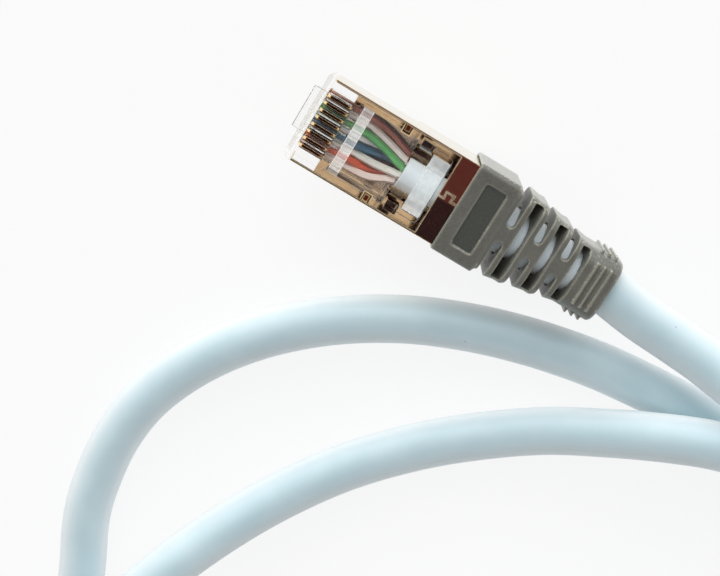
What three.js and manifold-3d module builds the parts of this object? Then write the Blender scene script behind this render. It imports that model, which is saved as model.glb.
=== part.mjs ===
// A shielded network patch cable: two clear eight-contact plugs with gilt shields and slotted boots,
// joined by one round cord that lies in loose loops and a coil. Millimetres, +Z up.
// Each plug is drawn with X from its nose to its cord, Y across it, and Z from the surface it lies on
// to its contact face. The origin is under the middle of the near plug.
import * as THREE from 'three';
import { mergeVertices } from 'three/addons/utils/BufferGeometryUtils.js';
import Module from 'manifold-3d';

const wasm = await Module();
wasm.setup();

// ---- driving dimensions: the plug body ----
const PLUG_WIDTH = 11.68;
const CONTACT_FACE_Z = 11.9;
const NOSE_HEIGHT = 6.6;
const REAR_HEIGHT = 8.6;
const NOSE_FRONT = 0.9;
const NOSE_LIP = 1.0;
const NOSE_BEVEL = 0.6;
const REAR_STEP_X = 14.2;
const HOUSING_REAR = 22.6;
const SKIN_ABOVE_WIRES = 0.7;
const FACE_RECESS = 0.3;
const FACE_BORDER = 0.6;
const CAVITY_FRONT = 6.5;
const COMB_WALL = 0.5;
const CAVITY_FLOOR = 0.6;

// ---- driving dimensions: contacts and wires ----
const PINS = 8;
const PIN_PITCH = 1.016;
const CONTACT_THICKNESS = 0.35;
const CONTACT_LENGTH = 3.4;
const CONTACT_SUNK = 0.55;
const CONTACT_BODY = 2.7;
const CONTACT_NOSE_RADIUS = 0.5;
const CONTACT_BITE = 0.05;
const TEETH = 2;
const WIRE_DIAMETER = 1.0;
const WIRE_LEVEL = -4.3;
const WIRE_STAGGER = 0.3;
const WIRE_TIP_X = 1.9;
const LOAD_BAR_LENGTH = 1.4;
const LOAD_BAR_HEIGHT = 2.4;
const SLOT_FRONT_DEPTH = 2.2;
const TUNNEL_SIDES = 8;
const WIRE_SIDES = 6;
const WIRE_STEPS = 14;

// ---- driving dimensions: the shield ----
const SHIELD_WALL = 0.25;
const BAND_FRONT = 20.2;
const SHIELD_REAR = 23.8;
const BARREL_WALL = 0.25;
const BARREL_END = 28.4;
const SEAM_WIDTH = 0.14;
const SEAM_TAB = 0.45;
const SEAM_TAB_END = 0.6;
const SEAM_TAB_LENGTH = 0.85;
const NOTCH_X = 12.7;
const NOTCH_LENGTH = 1.3;
const NOTCH_DEPTH = 1.4;
const NOTCH_WIDTH = 1.1;
const TAB_THICKNESS = 0.25;

// ---- driving dimensions: the cord ----
const CORD_DIAMETER = 6.5;
const CORD_AXIS = 7.6;
const JACKET_FRONT = 15.0;
const JACKET_REAR = 44.0;
const SHEATH_WALL = 0.55;
const WIRE_WELL = 1.2;
const BRAID_WALL = 0.25;
const BRAID_FRONT = 24.2;
const BRAID_LENGTH = 3.6;

// ---- driving dimensions: the strain bar and the latch ----
const STRAIN_BAR_X = 18.4;
const STRAIN_BAR_LENGTH = 2.4;
const STRAIN_BAR_WIDTH = 7.8;
const STRAIN_BAR_SINK = 1.5;
const POCKET_WALL = 0.3;
const POCKET_WIDTH = 1.2;
const LATCH_ROOT_WIDTH = 6.0;
const LATCH_TAIL_WIDTH = 3.25;
const LATCH_SHOULDER_X = 8.4;
const LATCH_END = 13.2;
const LATCH_ANGLE = 16;
const LATCH_ROOT_THICKNESS = 0.9;
const LATCH_NECK_THICKNESS = 0.7;
const LATCH_THICKNESS = 1.3;
const LATCH_TAIL_THICKNESS = 0.95;
const LATCH_NECK_LENGTH = 1.4;
const LATCH_RAMP = 2.6;
const LATCH_RELIEF = 0.25;
const LATCH_BEVEL = 0.4;
const HINGE_X = 0.6;

// ---- driving dimensions: the boot ----
const BOOT_FRONT = 22.8;
const BOOT_LENGTH = 22.6;
const BOOT_WALL = 0.4;
const BOOT_FLOOR = 1.5;
const BORE_SIDES = 20;
const BLOCK_LENGTH = 6.4;
const BLOCK_CORNER = 0.8;
const BLOCK_BEVEL = 0.12;
const BLOCK_SHOULDER = 0.8;
const SHOULDER_DROP = 0.4;
const RECESS_LENGTH = 3.0;
const RECESS_BORDER = 1.9;
const RECESS_DEPTH = 0.35;
const RECESS_CENTRE = 3.35;
const FINS = 3;
const BLOCK_TO_SLOT = 0.75;
const EDGE_SLOT_WIDTH = 1.1;
const BRIDGE_WIDTH = 2.2;
const THROUGH_SLOT_WIDTH = 1.3;
const THROUGH_SLOT_WALL = 0.45;
const FIN_TAPER = [0.1, 0.47, 0.87];
const FIN_CORNER = 1.8;
const FIN_WAIST = 0.28;
const FIN_DRAW = 0.25;
const FIN_DROP = 0.15;
const RIBS = 3;
const RIB_PITCH = 0.98;
const RIB_SETBACK = 1.4;
const RIB_WIDTH = 0.44;
const RIB_HEIGHT = 0.34;
const RIB_SINK = 0.2;
const RIB_CORNER = 1.8;
const RIB_BREAK = 1.3;
const COLLAR_LENGTH = 5.4;
const COLLAR_WALL = 1.15;
const COLLAR_ROOF = 1.25;
const COLLAR_CORNER = 2.4;
const COLLAR_BEVEL = 0.35;
const GUARD_FRONT = 11.6;
const GUARD_WALL = 1.1;
const GUARD_GAP = 0.55;
const GUARD_TOE = 1.1;

// ---- named clearances ----
const SHEET_FIT = 0.08;
const SLIP_FIT = 0.1;
const RUNNING_GAP = 0.3;

// ---- places that follow from them ----
const HALF_WIDTH = PLUG_WIDTH / 2;
const CORE_HALF_WIDTH = HALF_WIDTH - SHIELD_WALL - SHEET_FIT;
const NOSE_BOTTOM = CONTACT_FACE_Z - NOSE_HEIGHT;
const REAR_BOTTOM = CONTACT_FACE_Z - REAR_HEIGHT;
const CORE_INSET = SHIELD_WALL + SHEET_FIT;
const SHIELD_FRONT = NOSE_FRONT + NOSE_LIP + SLIP_FIT;
const CORD_RADIUS = CORD_DIAMETER / 2;
const BORE_RADIUS = CORD_RADIUS + RUNNING_GAP;
const WIRE_CENTRE_Z = CONTACT_FACE_Z + WIRE_LEVEL;
const WIRE_RADIUS = WIRE_DIAMETER / 2;
const TUNNEL_RADIUS = WIRE_RADIUS + SLIP_FIT;
const CONTACT_FRONT = SHIELD_FRONT;
const CONTACT_REAR = CONTACT_FRONT + CONTACT_LENGTH;
const LOAD_BAR_FRONT = CAVITY_FRONT + RUNNING_GAP;
const CAVITY_REAR = JACKET_FRONT - RUNNING_GAP;
const CAVITY_HALF_WIDTH = (PINS - 1) / 2 * PIN_PITCH + TUNNEL_RADIUS + COMB_WALL;
const BOOT_END = BOOT_FRONT + BOOT_LENGTH;
const BOOT_HALF_WIDTH = HALF_WIDTH + SLIP_FIT + BOOT_WALL;
const BOOT_TOP = CONTACT_FACE_Z + SLIP_FIT + BOOT_WALL;
const BOOT_BOTTOM = REAR_BOTTOM - SLIP_FIT - BOOT_FLOOR;
const FIN_BOTTOM = 2 * CORD_AXIS - BOOT_TOP;
const RECESS_WIDTH = 2 * (BOOT_HALF_WIDTH - RECESS_BORDER);
const COLLAR_HALF_WIDTH = CORD_RADIUS + COLLAR_WALL;
const COLLAR_HALF_HEIGHT = CORD_RADIUS + COLLAR_ROOF;
const FIN_PITCH = (BOOT_LENGTH - BLOCK_LENGTH - BLOCK_TO_SLOT - COLLAR_LENGTH) / (FINS - 0.5);
const BARREL_RADIUS = CORD_RADIUS + SHEET_FIT + BRAID_WALL + SHEET_FIT;
const LATCH_TOP = NOSE_BOTTOM - SLIP_FIT;
const RIB_TOP = CORD_AXIS + COLLAR_HALF_HEIGHT + RIB_HEIGHT;
const OVERSHOOT = 1;

// ---- where each plug lies ----
const FAR_EXIT = [80, -0.5];
const FAR_HEADING = 7.5;

// ---- the cord's route on the surface ----
const SETTLE_GAP = 0.05;
const CORD_REST_Z = CORD_RADIUS + SETTLE_GAP;
const FACE_GAP = 0.3;
const EASE = 8;
const COIL_CENTRE = [67, -81];
const COIL_RADIUS = 41;
const COIL_TURN_GAP = 0.5;
const COIL_START_ANGLE = 0;
const COIL_TURNS = 10 / 3;
const COIL_CLIMB_TURNS = 0.5;
const COIL_STEPS_PER_TURN = 24;
const COIL_SIDES = 6;
const CORD_SIDES = 8;
const LEAD_STEPS = 12;
const RUN_STEPS = 56;

const LEAD_ROUTE = [
  [28.7, -0.7, 7.7], [33.4, -0.9, 8.1], [38.7, -1.1, 9.2], [43, -1.5, 10.8], [49, -1.6, 14],
  [56, -2, 16.3], [63, -3.2, 16.8], [70, -5.6, 15.5], [76.5, -10, 13.1], [82.5, -16.5, 10.9],
  [88.5, -23.7, 9.2], [94.9, -32, 7], [100.6, -40.8, 5], [104.8, -49.8, 3.9], [107.3, -58.6, 3.5],
];
const RUN_ROUTE = [
  [25, -104, 8.7], [14.2, -98.4, 6.2], [4.2, -93.3, 4.3], [-4, -88.2, 3.6], [-10.2, -82.4, 3.4],
  [-14.4, -76.6, 3.4], [-16.9, -71.3, 3.3], [-19.7, -65, 3.3], [-20.9, -60.1, 3.3], [-21.6, -53.1, 3.3],
  [-20.7, -45.6, 3.3], [-17.3, -37.4, 3.3], [-12.1, -30.1, 3.3], [-5, -23.4, 3.3], [2.9, -18.2, 3.3],
  [10.5, -14.7, 3.3], [18.4, -12.1, 3.3], [26.9, -10.2, 3.3], [33.9, -9.3, 3.3], [47, -8.6, 3.3],
  [60, -10, 3.3], [73, -12.9, 3.3], [86, -17.8, 3.3], [98, -25.4, 3.3], [107.2, -35.2, 3.3],
  [113.8, -47, 3.3], [117.3, -61.5, 3.3], [117.8, -77.5, 3.3], [114.8, -95, 3.3], [107, -110.6, 3.3],
  [95.2, -123, 3.3], [80, -131, 3.3], [63.5, -133.8, 3.3], [46, -132.6, 3.3], [29.5, -127.4, 3.4],
  [15.2, -118.6, 4], [4.2, -108.9, 6], [-3.6, -99.6, 8.6], [-8.4, -90.8, 10.3], [-10.4, -82, 10.6],
  [-9.6, -73, 10.3], [-6.9, -64.3, 9.1], [-3.1, -56.3, 6.6], [1.6, -48.1, 4.8], [7.7, -39.5, 3.7],
  [15.4, -31.2, 3.4], [22.8, -24.8, 3.7], [28, -20.6, 4.9], [33.2, -16.9, 6.9], [38.5, -13.4, 9],
  [44.6, -10.2, 10.4], [50.2, -8.2, 10.7], [56, -5.6, 9.9], [62.5, -3.5, 7.6], [68.2, -2.3, 5.6],
];

// ---- finishes ----
const finish = (color, roughness, metalness = 0) =>
  new THREE.MeshStandardMaterial({ color, roughness, metalness });
const CLEAR_PLASTIC = finish(0xe6e9e6, 0.15);
const GILT = finish(0xd9b878, 0.25, 1);
const GREY_VINYL = finish(0x76756b, 0.7);
const SHEATH = finish(0xa9c6cd, 0.45);
const BRAID = finish(0xb9bcc0, 0.4, 1);
const WIRE_NAMES = [
  'orange_white', 'orange', 'green_white', 'blue', 'blue_white', 'green', 'brown_white', 'brown',
];
const WIRE_COLOURS = [
  0xf1d9cf, 0xc64a1f, 0xdfe8df, 0x1e4d66, 0xdce4ea, 0x57a95d, 0xe6ded8, 0x7a4330,
];

// ---- solids and cuts ----

const degrees = (angle) => THREE.MathUtils.degToRad(angle);

// A closed geometry as a solid that can be joined and cut.
function solidOf(geometry) {
  const bare = geometry.index ? geometry.toNonIndexed() : geometry.clone();
  bare.deleteAttribute('normal');
  bare.deleteAttribute('uv');
  const merged = mergeVertices(bare, 1e-5);
  return new wasm.Manifold(new wasm.Mesh({
    numProp: 3,
    vertProperties: new Float32Array(merged.attributes.position.array),
    triVerts: new Uint32Array(merged.index.array),
  }));
}

// A solid as a geometry for a mesh.
function geometryOf(solid) {
  const mesh = solid.getMesh();
  const geometry = new THREE.BufferGeometry();
  geometry.setAttribute('position', new THREE.BufferAttribute(Float32Array.from(mesh.vertProperties), 3));
  geometry.setIndex(new THREE.BufferAttribute(Uint32Array.from(mesh.triVerts), 1));
  const flat = geometry.toNonIndexed();
  flat.computeVertexNormals();
  return flat;
}

function joined(solids) {
  return solids.reduce((whole, piece) => whole.add(piece));
}

function cut(solid, tools) {
  return tools.reduce((left, tool) => left.subtract(tool), solid);
}

// A block between two corners.
function block(x0, x1, y0, y1, z0, z1) {
  const geometry = new THREE.BoxGeometry(x1 - x0, y1 - y0, z1 - z0);
  geometry.translate((x0 + x1) / 2, (y0 + y1) / 2, (z0 + z1) / 2);
  return solidOf(geometry);
}

// A rod along X.
function rod(x0, x1, y, z, radius, sides) {
  const geometry = new THREE.CylinderGeometry(radius, radius, x1 - x0, sides);
  geometry.rotateZ(Math.PI / 2);
  geometry.translate((x0 + x1) / 2, y, z);
  return solidOf(geometry);
}

// A side profile in X and Z, given its thickness across Y.
function sideProfile(points, y0, y1) {
  const shape = new THREE.Shape(points.map(([x, z]) => new THREE.Vector2(x, z)));
  const geometry = new THREE.ExtrudeGeometry(shape, { depth: y1 - y0, bevelEnabled: false });
  geometry.rotateX(Math.PI / 2);
  geometry.translate(0, y1, 0);
  return solidOf(geometry);
}

// A plan outline in X and Y, given its height along Z.
function planShape(shape, z0, z1, curveSegments = 6) {
  const geometry = new THREE.ExtrudeGeometry(shape, { depth: z1 - z0, bevelEnabled: false, curveSegments });
  geometry.translate(0, 0, z0);
  return solidOf(geometry);
}

// A rectangle with round corners, as a plan outline.
function roundedRectangle(x0, x1, y0, y1, radius) {
  const shape = new THREE.Shape();
  shape.moveTo(x0 + radius, y0);
  shape.lineTo(x1 - radius, y0);
  shape.absarc(x1 - radius, y0 + radius, radius, -Math.PI / 2, 0);
  shape.lineTo(x1, y1 - radius);
  shape.absarc(x1 - radius, y1 - radius, radius, 0, Math.PI / 2);
  shape.lineTo(x0 + radius, y1);
  shape.absarc(x0 + radius, y1 - radius, radius, Math.PI / 2, Math.PI);
  shape.lineTo(x0, y0 + radius);
  shape.absarc(x0 + radius, y0 + radius, radius, Math.PI, 1.5 * Math.PI);
  return shape;
}

// One ring of a loft: a rectangle with round corners, standing across X.
function sectionRing({ x, halfWidth, top, bottom, radius }, cornerSteps) {
  const corners = [[1, 1], [-1, 1], [-1, -1], [1, -1]];
  return corners.flatMap(([sideY, sideZ], corner) => {
    const centreY = sideY * (halfWidth - radius);
    const centreZ = sideZ > 0 ? top - radius : bottom + radius;
    return Array.from({ length: cornerSteps + 1 }, (_, step) => {
      const angle = (corner + step / cornerSteps) * Math.PI / 2;
      return [x, centreY + radius * Math.cos(angle), centreZ + radius * Math.sin(angle)];
    });
  });
}

// A closed skin through rings of equal size, with a flat cap at each end.
function loft(stations, cornerSteps = 3) {
  const rings = stations.map((station) => sectionRing(station, cornerSteps));
  const size = rings[0].length;
  const index = [];
  for (let ring = 0; ring + 1 < rings.length; ring += 1) {
    for (let k = 0; k < size; k += 1) {
      const a = ring * size + k;
      const b = ring * size + (k + 1) % size;
      index.push(a, b, b + size, a, b + size, a + size);
    }
  }
  const last = (rings.length - 1) * size;
  for (let k = 1; k + 1 < size; k += 1) {
    index.push(0, k + 1, k, last, last + k, last + k + 1);
  }
  const geometry = new THREE.BufferGeometry();
  geometry.setAttribute('position', new THREE.Float32BufferAttribute(rings.flat(2), 3));
  geometry.setIndex(index);
  return solidOf(geometry);
}

// A bar along a curve, its section a regular polygon.
function roundBar(curve, radius, sides, steps) {
  const corners = Array.from({ length: sides }, (_, k) => {
    const angle = (k + 0.5) / sides * 2 * Math.PI;
    return new THREE.Vector2(radius * Math.cos(angle), radius * Math.sin(angle));
  });
  const settings = { steps, bevelEnabled: false, extrudePath: curve };
  return new THREE.ExtrudeGeometry(new THREE.Shape(corners), settings);
}

function smoothCurve(points) {
  return new THREE.CatmullRomCurve3(points.map(([x, y, z]) => new THREE.Vector3(x, y, z)));
}

// ---- the clear housing ----

const pinY = (pin) => (pin - (PINS - 1) / 2) * PIN_PITCH;
const wireZ = (pin) => WIRE_CENTRE_Z + (pin % 2 ? WIRE_STAGGER : -WIRE_STAGGER);

function housing() {
  const top = CONTACT_FACE_Z;
  const bandTop = top - CORE_INSET;
  const lip = block(NOSE_FRONT, NOSE_FRONT + NOSE_LIP, -HALF_WIDTH, HALF_WIDTH, NOSE_BOTTOM, top);
  const front = block(NOSE_FRONT + NOSE_LIP - OVERSHOOT / 2, REAR_STEP_X + CORE_INSET, -CORE_HALF_WIDTH,
    CORE_HALF_WIDTH, NOSE_BOTTOM + CORE_INSET, top);
  const rear = block(REAR_STEP_X + CORE_INSET, BAND_FRONT - SLIP_FIT, -CORE_HALF_WIDTH,
    CORE_HALF_WIDTH, REAR_BOTTOM + CORE_INSET, top);
  const tail = block(BAND_FRONT - SLIP_FIT - OVERSHOOT / 2, HOUSING_REAR, -CORE_HALF_WIDTH,
    CORE_HALF_WIDTH, REAR_BOTTOM + CORE_INSET, bandTop);
  const body = joined([lip, front, rear, tail]);
  return cut(body, [
    ...contactSlots(), ...wireTunnels(WIRE_TIP_X - SLIP_FIT, CAVITY_FRONT + OVERSHOOT / 2),
    ...innerSpaces(), ...edgeNotches(), ...noseChamfers(),
  ]);
}

// The slots that the contacts stand in, open at the face and at the top of the nose.
function contactSlots() {
  const half = CONTACT_THICKNESS / 2 + SLIP_FIT;
  return Array.from({ length: PINS }, (_, pin) => {
    const y = pinY(pin);
    const above = CONTACT_FACE_Z + OVERSHOOT;
    const mouth = block(NOSE_FRONT - OVERSHOOT, CONTACT_FRONT, y - half, y + half,
      CONTACT_FACE_Z - SLOT_FRONT_DEPTH, above);
    const seat = block(CONTACT_FRONT - SLIP_FIT, CONTACT_REAR + SLIP_FIT, y - half, y + half,
      wireZ(pin), above);
    return mouth.add(seat);
  });
}

// A tunnel for each wire, between two places along the plug.
function wireTunnels(x0, x1) {
  return Array.from({ length: PINS }, (_, pin) =>
    rod(x0, x1, pinY(pin), wireZ(pin), TUNNEL_RADIUS, TUNNEL_SIDES));
}

// The room for the load bar and the wires, the cord's bore, the strain bar's pocket and the sunk face.
function innerSpaces() {
  const ceiling = CONTACT_FACE_Z - FACE_RECESS - SKIN_ABOVE_WIRES;
  const room = block(CAVITY_FRONT, CAVITY_REAR, -CAVITY_HALF_WIDTH, CAVITY_HALF_WIDTH,
    NOSE_BOTTOM + CORE_INSET + CAVITY_FLOOR, ceiling);
  const bore = rod(CAVITY_REAR - SLIP_FIT, HOUSING_REAR + OVERSHOOT, 0, CORD_AXIS, BORE_RADIUS, BORE_SIDES);
  const half = STRAIN_BAR_LENGTH / 2 + SLIP_FIT;
  const halfPocket = STRAIN_BAR_WIDTH / 2 + SLIP_FIT;
  const pocket = block(STRAIN_BAR_X - half, STRAIN_BAR_X + half, -halfPocket, halfPocket,
    CONTACT_FACE_Z - FACE_RECESS - STRAIN_BAR_SINK - SLIP_FIT, CONTACT_FACE_Z + OVERSHOOT);
  const window = planShape(
    roundedRectangle(CONTACT_REAR + FACE_BORDER, BAND_FRONT - FACE_BORDER, -CAVITY_HALF_WIDTH,
      CAVITY_HALF_WIDTH, FACE_BORDER / 2),
    CONTACT_FACE_Z - FACE_RECESS, CONTACT_FACE_Z + OVERSHOOT, 2);
  return [room, bore, pocket, window, ...sidePockets()];
}

// A deep pocket at each side of the sheath, ahead of the strain bar.
function sidePockets() {
  const rear = STRAIN_BAR_X - STRAIN_BAR_LENGTH / 2 - SLIP_FIT - POCKET_WALL;
  const inner = BORE_RADIUS + POCKET_WALL;
  return [-1, 1].map((side) => {
    const [y0, y1] = [side * inner, side * (inner + POCKET_WIDTH)].sort((a, b) => a - b);
    return block(JACKET_FRONT + SLIP_FIT, rear, y0, y1, CORD_AXIS, CONTACT_FACE_Z + OVERSHOOT);
  });
}

// A notch in each long edge of the face, where a tab of the shield holds the housing.
function edgeNotches() {
  return [-1, 1].map((side) => {
    const inner = side * (CORE_HALF_WIDTH - NOTCH_WIDTH);
    const outer = side * (CORE_HALF_WIDTH + OVERSHOOT);
    return block(NOTCH_X - NOTCH_LENGTH / 2, NOTCH_X + NOTCH_LENGTH / 2, Math.min(inner, outer),
      Math.max(inner, outer), CONTACT_FACE_Z - NOTCH_DEPTH, CONTACT_FACE_Z + OVERSHOOT);
  });
}

// The nose is bevelled at its lower front edge and at its two front corners.
function noseChamfers() {
  const bevel = NOSE_BEVEL;
  const lower = sideProfile([
    [NOSE_FRONT - OVERSHOOT, NOSE_BOTTOM - OVERSHOOT],
    [NOSE_FRONT + bevel + OVERSHOOT, NOSE_BOTTOM - OVERSHOOT],
    [NOSE_FRONT - OVERSHOOT, NOSE_BOTTOM + bevel + OVERSHOOT],
  ], -PLUG_WIDTH, PLUG_WIDTH);
  const corners = [-1, 1].map((side) => {
    const shape = new THREE.Shape([
      new THREE.Vector2(NOSE_FRONT - OVERSHOOT, side * (HALF_WIDTH + OVERSHOOT)),
      new THREE.Vector2(NOSE_FRONT - OVERSHOOT, side * (HALF_WIDTH - bevel - OVERSHOOT)),
      new THREE.Vector2(NOSE_FRONT + bevel + OVERSHOOT, side * (HALF_WIDTH + OVERSHOOT)),
    ]);
    return planShape(shape, 0, CONTACT_FACE_Z + OVERSHOOT);
  });
  return [lower, ...corners];
}

// ---- contacts, wires, load bar and strain bar ----

// A flat blade with a round nose and two teeth that bite into the wire under it.
function contact(pin) {
  const top = CONTACT_FACE_Z - CONTACT_SUNK;
  const waist = top - CONTACT_BODY;
  const tip = wireZ(pin) + CONTACT_BITE;
  const r = CONTACT_NOSE_RADIUS;
  const toothPitch = CONTACT_LENGTH / TEETH;
  const gum = tip + WIRE_RADIUS / 2;
  const shape = new THREE.Shape();
  shape.moveTo(CONTACT_FRONT, waist);
  for (let tooth = 0; tooth < TEETH; tooth += 1) {
    const x = CONTACT_FRONT + tooth * toothPitch;
    shape.lineTo(x + toothPitch / 4, gum);
    shape.lineTo(x + toothPitch / 2, tip);
    shape.lineTo(x + toothPitch * 3 / 4, gum);
    shape.lineTo(x + toothPitch, waist);
  }
  shape.lineTo(CONTACT_REAR, top - r / 2);
  shape.lineTo(CONTACT_REAR - r / 2, top);
  shape.lineTo(CONTACT_FRONT + r, top);
  shape.absarc(CONTACT_FRONT + r, top - r, r, Math.PI / 2, Math.PI);
  const settings = { depth: CONTACT_THICKNESS, bevelEnabled: false, curveSegments: 3 };
  const geometry = new THREE.ExtrudeGeometry(shape, settings);
  geometry.rotateX(Math.PI / 2);
  geometry.translate(0, pinY(pin) + CONTACT_THICKNESS / 2, 0);
  return solidOf(geometry);
}

// Where each wire ends inside the sheath, across and above the cord's axis, and the bow on its way there.
const WIRE_ENDS = [
  [-1.7, 1.1], [-1.2, 0.05], [-0.75, 1.75], [0.45, 0.1],
  [1.25, -0.6], [0.35, 1.95], [1.25, 1.15], [2.05, 0.35],
];
const WIRE_BOWS = [
  [-3.2, 0.4], [-2.4, -0.5], [-1.3, 0.6], [-0.1, -0.5],
  [0.9, -0.85], [1.15, 1.3], [2.0, 0.4], [3.0, -0.3],
];

function wireCurve(pin) {
  const y = pinY(pin);
  const z = wireZ(pin);
  const [endY, endZ] = WIRE_ENDS[pin];
  const [bowY, bowZ] = WIRE_BOWS[pin];
  const barRear = LOAD_BAR_FRONT + LOAD_BAR_LENGTH;
  const middle = (barRear + JACKET_FRONT) / 2;
  const tail = JACKET_FRONT + WIRE_WELL - RUNNING_GAP;
  return smoothCurve([
    [WIRE_TIP_X, y, z], [CONTACT_REAR, y, z], [barRear + SLIP_FIT, y, z],
    [middle, bowY, WIRE_CENTRE_Z + bowZ], [JACKET_FRONT - RUNNING_GAP, endY, CORD_AXIS + endZ],
    [tail, endY, CORD_AXIS + endZ],
  ]);
}

// A wire, slit where its contact bites through the insulation.
function wire(pin) {
  const tube = solidOf(roundBar(wireCurve(pin), WIRE_RADIUS, WIRE_SIDES, WIRE_STEPS));
  const half = CONTACT_THICKNESS / 2 + SLIP_FIT;
  const y = pinY(pin);
  const slit = block(CONTACT_FRONT - SLIP_FIT, CONTACT_REAR + SLIP_FIT, y - half, y + half,
    wireZ(pin) + CONTACT_BITE - SLIP_FIT, wireZ(pin) + WIRE_DIAMETER);
  return tube.subtract(slit);
}

// The comb that keeps the eight wires in order.
function loadBar() {
  const half = CAVITY_HALF_WIDTH - SLIP_FIT;
  const x1 = LOAD_BAR_FRONT + LOAD_BAR_LENGTH;
  const z0 = WIRE_CENTRE_Z - LOAD_BAR_HEIGHT / 2;
  const bar = block(LOAD_BAR_FRONT, x1, -half, half, z0, z0 + LOAD_BAR_HEIGHT);
  return cut(bar, wireTunnels(LOAD_BAR_FRONT - OVERSHOOT, x1 + OVERSHOOT));
}

// The bar that is pressed down on the sheath.
function strainBar() {
  const half = STRAIN_BAR_LENGTH / 2;
  const top = CONTACT_FACE_Z - FACE_RECESS - SLIP_FIT;
  const halfWidth = STRAIN_BAR_WIDTH / 2;
  const bar = block(STRAIN_BAR_X - half, STRAIN_BAR_X + half, -halfWidth, halfWidth,
    CONTACT_FACE_Z - FACE_RECESS - STRAIN_BAR_SINK, top);
  const saddle = rod(0, BOOT_FRONT, 0, CORD_AXIS, CORD_RADIUS + SLIP_FIT, BORE_SIDES);
  return bar.subtract(saddle);
}

// ---- the shield ----

// A folded sheet: a floor open under the contacts, two sides, a step, a band all round at the rear, and a
// crimp barrel.
function shield() {
  const t = SHIELD_WALL;
  const top = CONTACT_FACE_Z;
  const frontFloor = block(CONTACT_REAR, REAR_STEP_X, -HALF_WIDTH, HALF_WIDTH, NOSE_BOTTOM, NOSE_BOTTOM + t);
  const step = block(REAR_STEP_X - t, REAR_STEP_X, -HALF_WIDTH, HALF_WIDTH, REAR_BOTTOM, NOSE_BOTTOM + t);
  const rearFloor = block(REAR_STEP_X - t, SHIELD_REAR, -HALF_WIDTH, HALF_WIDTH, REAR_BOTTOM, REAR_BOTTOM + t);
  const sides = [-1, 1].map((side) => shieldSide(side));
  const band = block(BAND_FRONT, SHIELD_REAR, -HALF_WIDTH, HALF_WIDTH, top - t, top);
  const rearWall = block(SHIELD_REAR - t, SHIELD_REAR, -HALF_WIDTH, HALF_WIDTH, REAR_BOTTOM, top);
  const barrel = rod(SHIELD_REAR - t, BARREL_END, 0, CORD_AXIS, BARREL_RADIUS + BARREL_WALL, BORE_SIDES);
  const whole = joined([frontFloor, step, rearFloor, ...sides, band, rearWall, barrel]);
  const bore = rod(SHIELD_REAR - OVERSHOOT, BARREL_END + OVERSHOOT, 0, CORD_AXIS, BARREL_RADIUS, BORE_SIDES);
  return cut(whole, [bore, bandSeam()]);
}

// One long side of the shield, with the tab that is pressed into the housing's notch.
function shieldSide(side) {
  const outer = side * HALF_WIDTH;
  const inner = side * (HALF_WIDTH - SHIELD_WALL);
  const y0 = Math.min(outer, inner);
  const y1 = Math.max(outer, inner);
  const wall = sideProfile([
    [SHIELD_FRONT, NOSE_BOTTOM], [REAR_STEP_X - SHIELD_WALL, NOSE_BOTTOM],
    [REAR_STEP_X - SHIELD_WALL, REAR_BOTTOM], [SHIELD_REAR, REAR_BOTTOM],
    [SHIELD_REAR, CONTACT_FACE_Z], [SHIELD_FRONT, CONTACT_FACE_Z],
  ], y0, y1);
  const tip = side * (CORE_HALF_WIDTH - NOTCH_WIDTH + RUNNING_GAP);
  const half = NOTCH_LENGTH / 2 - RUNNING_GAP;
  const z = CONTACT_FACE_Z - NOTCH_DEPTH / 2;
  const tab = block(NOTCH_X - half, NOTCH_X + half, Math.min(tip, outer), Math.max(tip, outer),
    z - TAB_THICKNESS, z);
  return wall.add(tab);
}

// The dovetailed seam where the two ends of the sheet lock together on the band.
function bandSeam() {
  const x0 = BAND_FRONT - OVERSHOOT;
  const x1 = BOOT_FRONT + RUNNING_GAP;
  const middle = (BAND_FRONT + BOOT_FRONT) / 2;
  const line = [
    [x0, 0], [middle - SEAM_TAB, 0], [middle - SEAM_TAB_END, SEAM_TAB_LENGTH],
    [middle + SEAM_TAB_END, SEAM_TAB_LENGTH], [middle + SEAM_TAB, 0], [x1, 0],
  ];
  const strips = line.slice(1).map(([xb, yb], k) => {
    const [xa, ya] = line[k];
    const length = Math.hypot(xb - xa, yb - ya);
    const strip = new THREE.BoxGeometry(length + SEAM_WIDTH, SEAM_WIDTH, 3 * SHIELD_WALL);
    strip.rotateZ(Math.atan2(yb - ya, xb - xa));
    strip.translate((xa + xb) / 2, (ya + yb) / 2, CONTACT_FACE_Z);
    return solidOf(strip);
  });
  return joined(strips);
}

// ---- the latch ----

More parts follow.
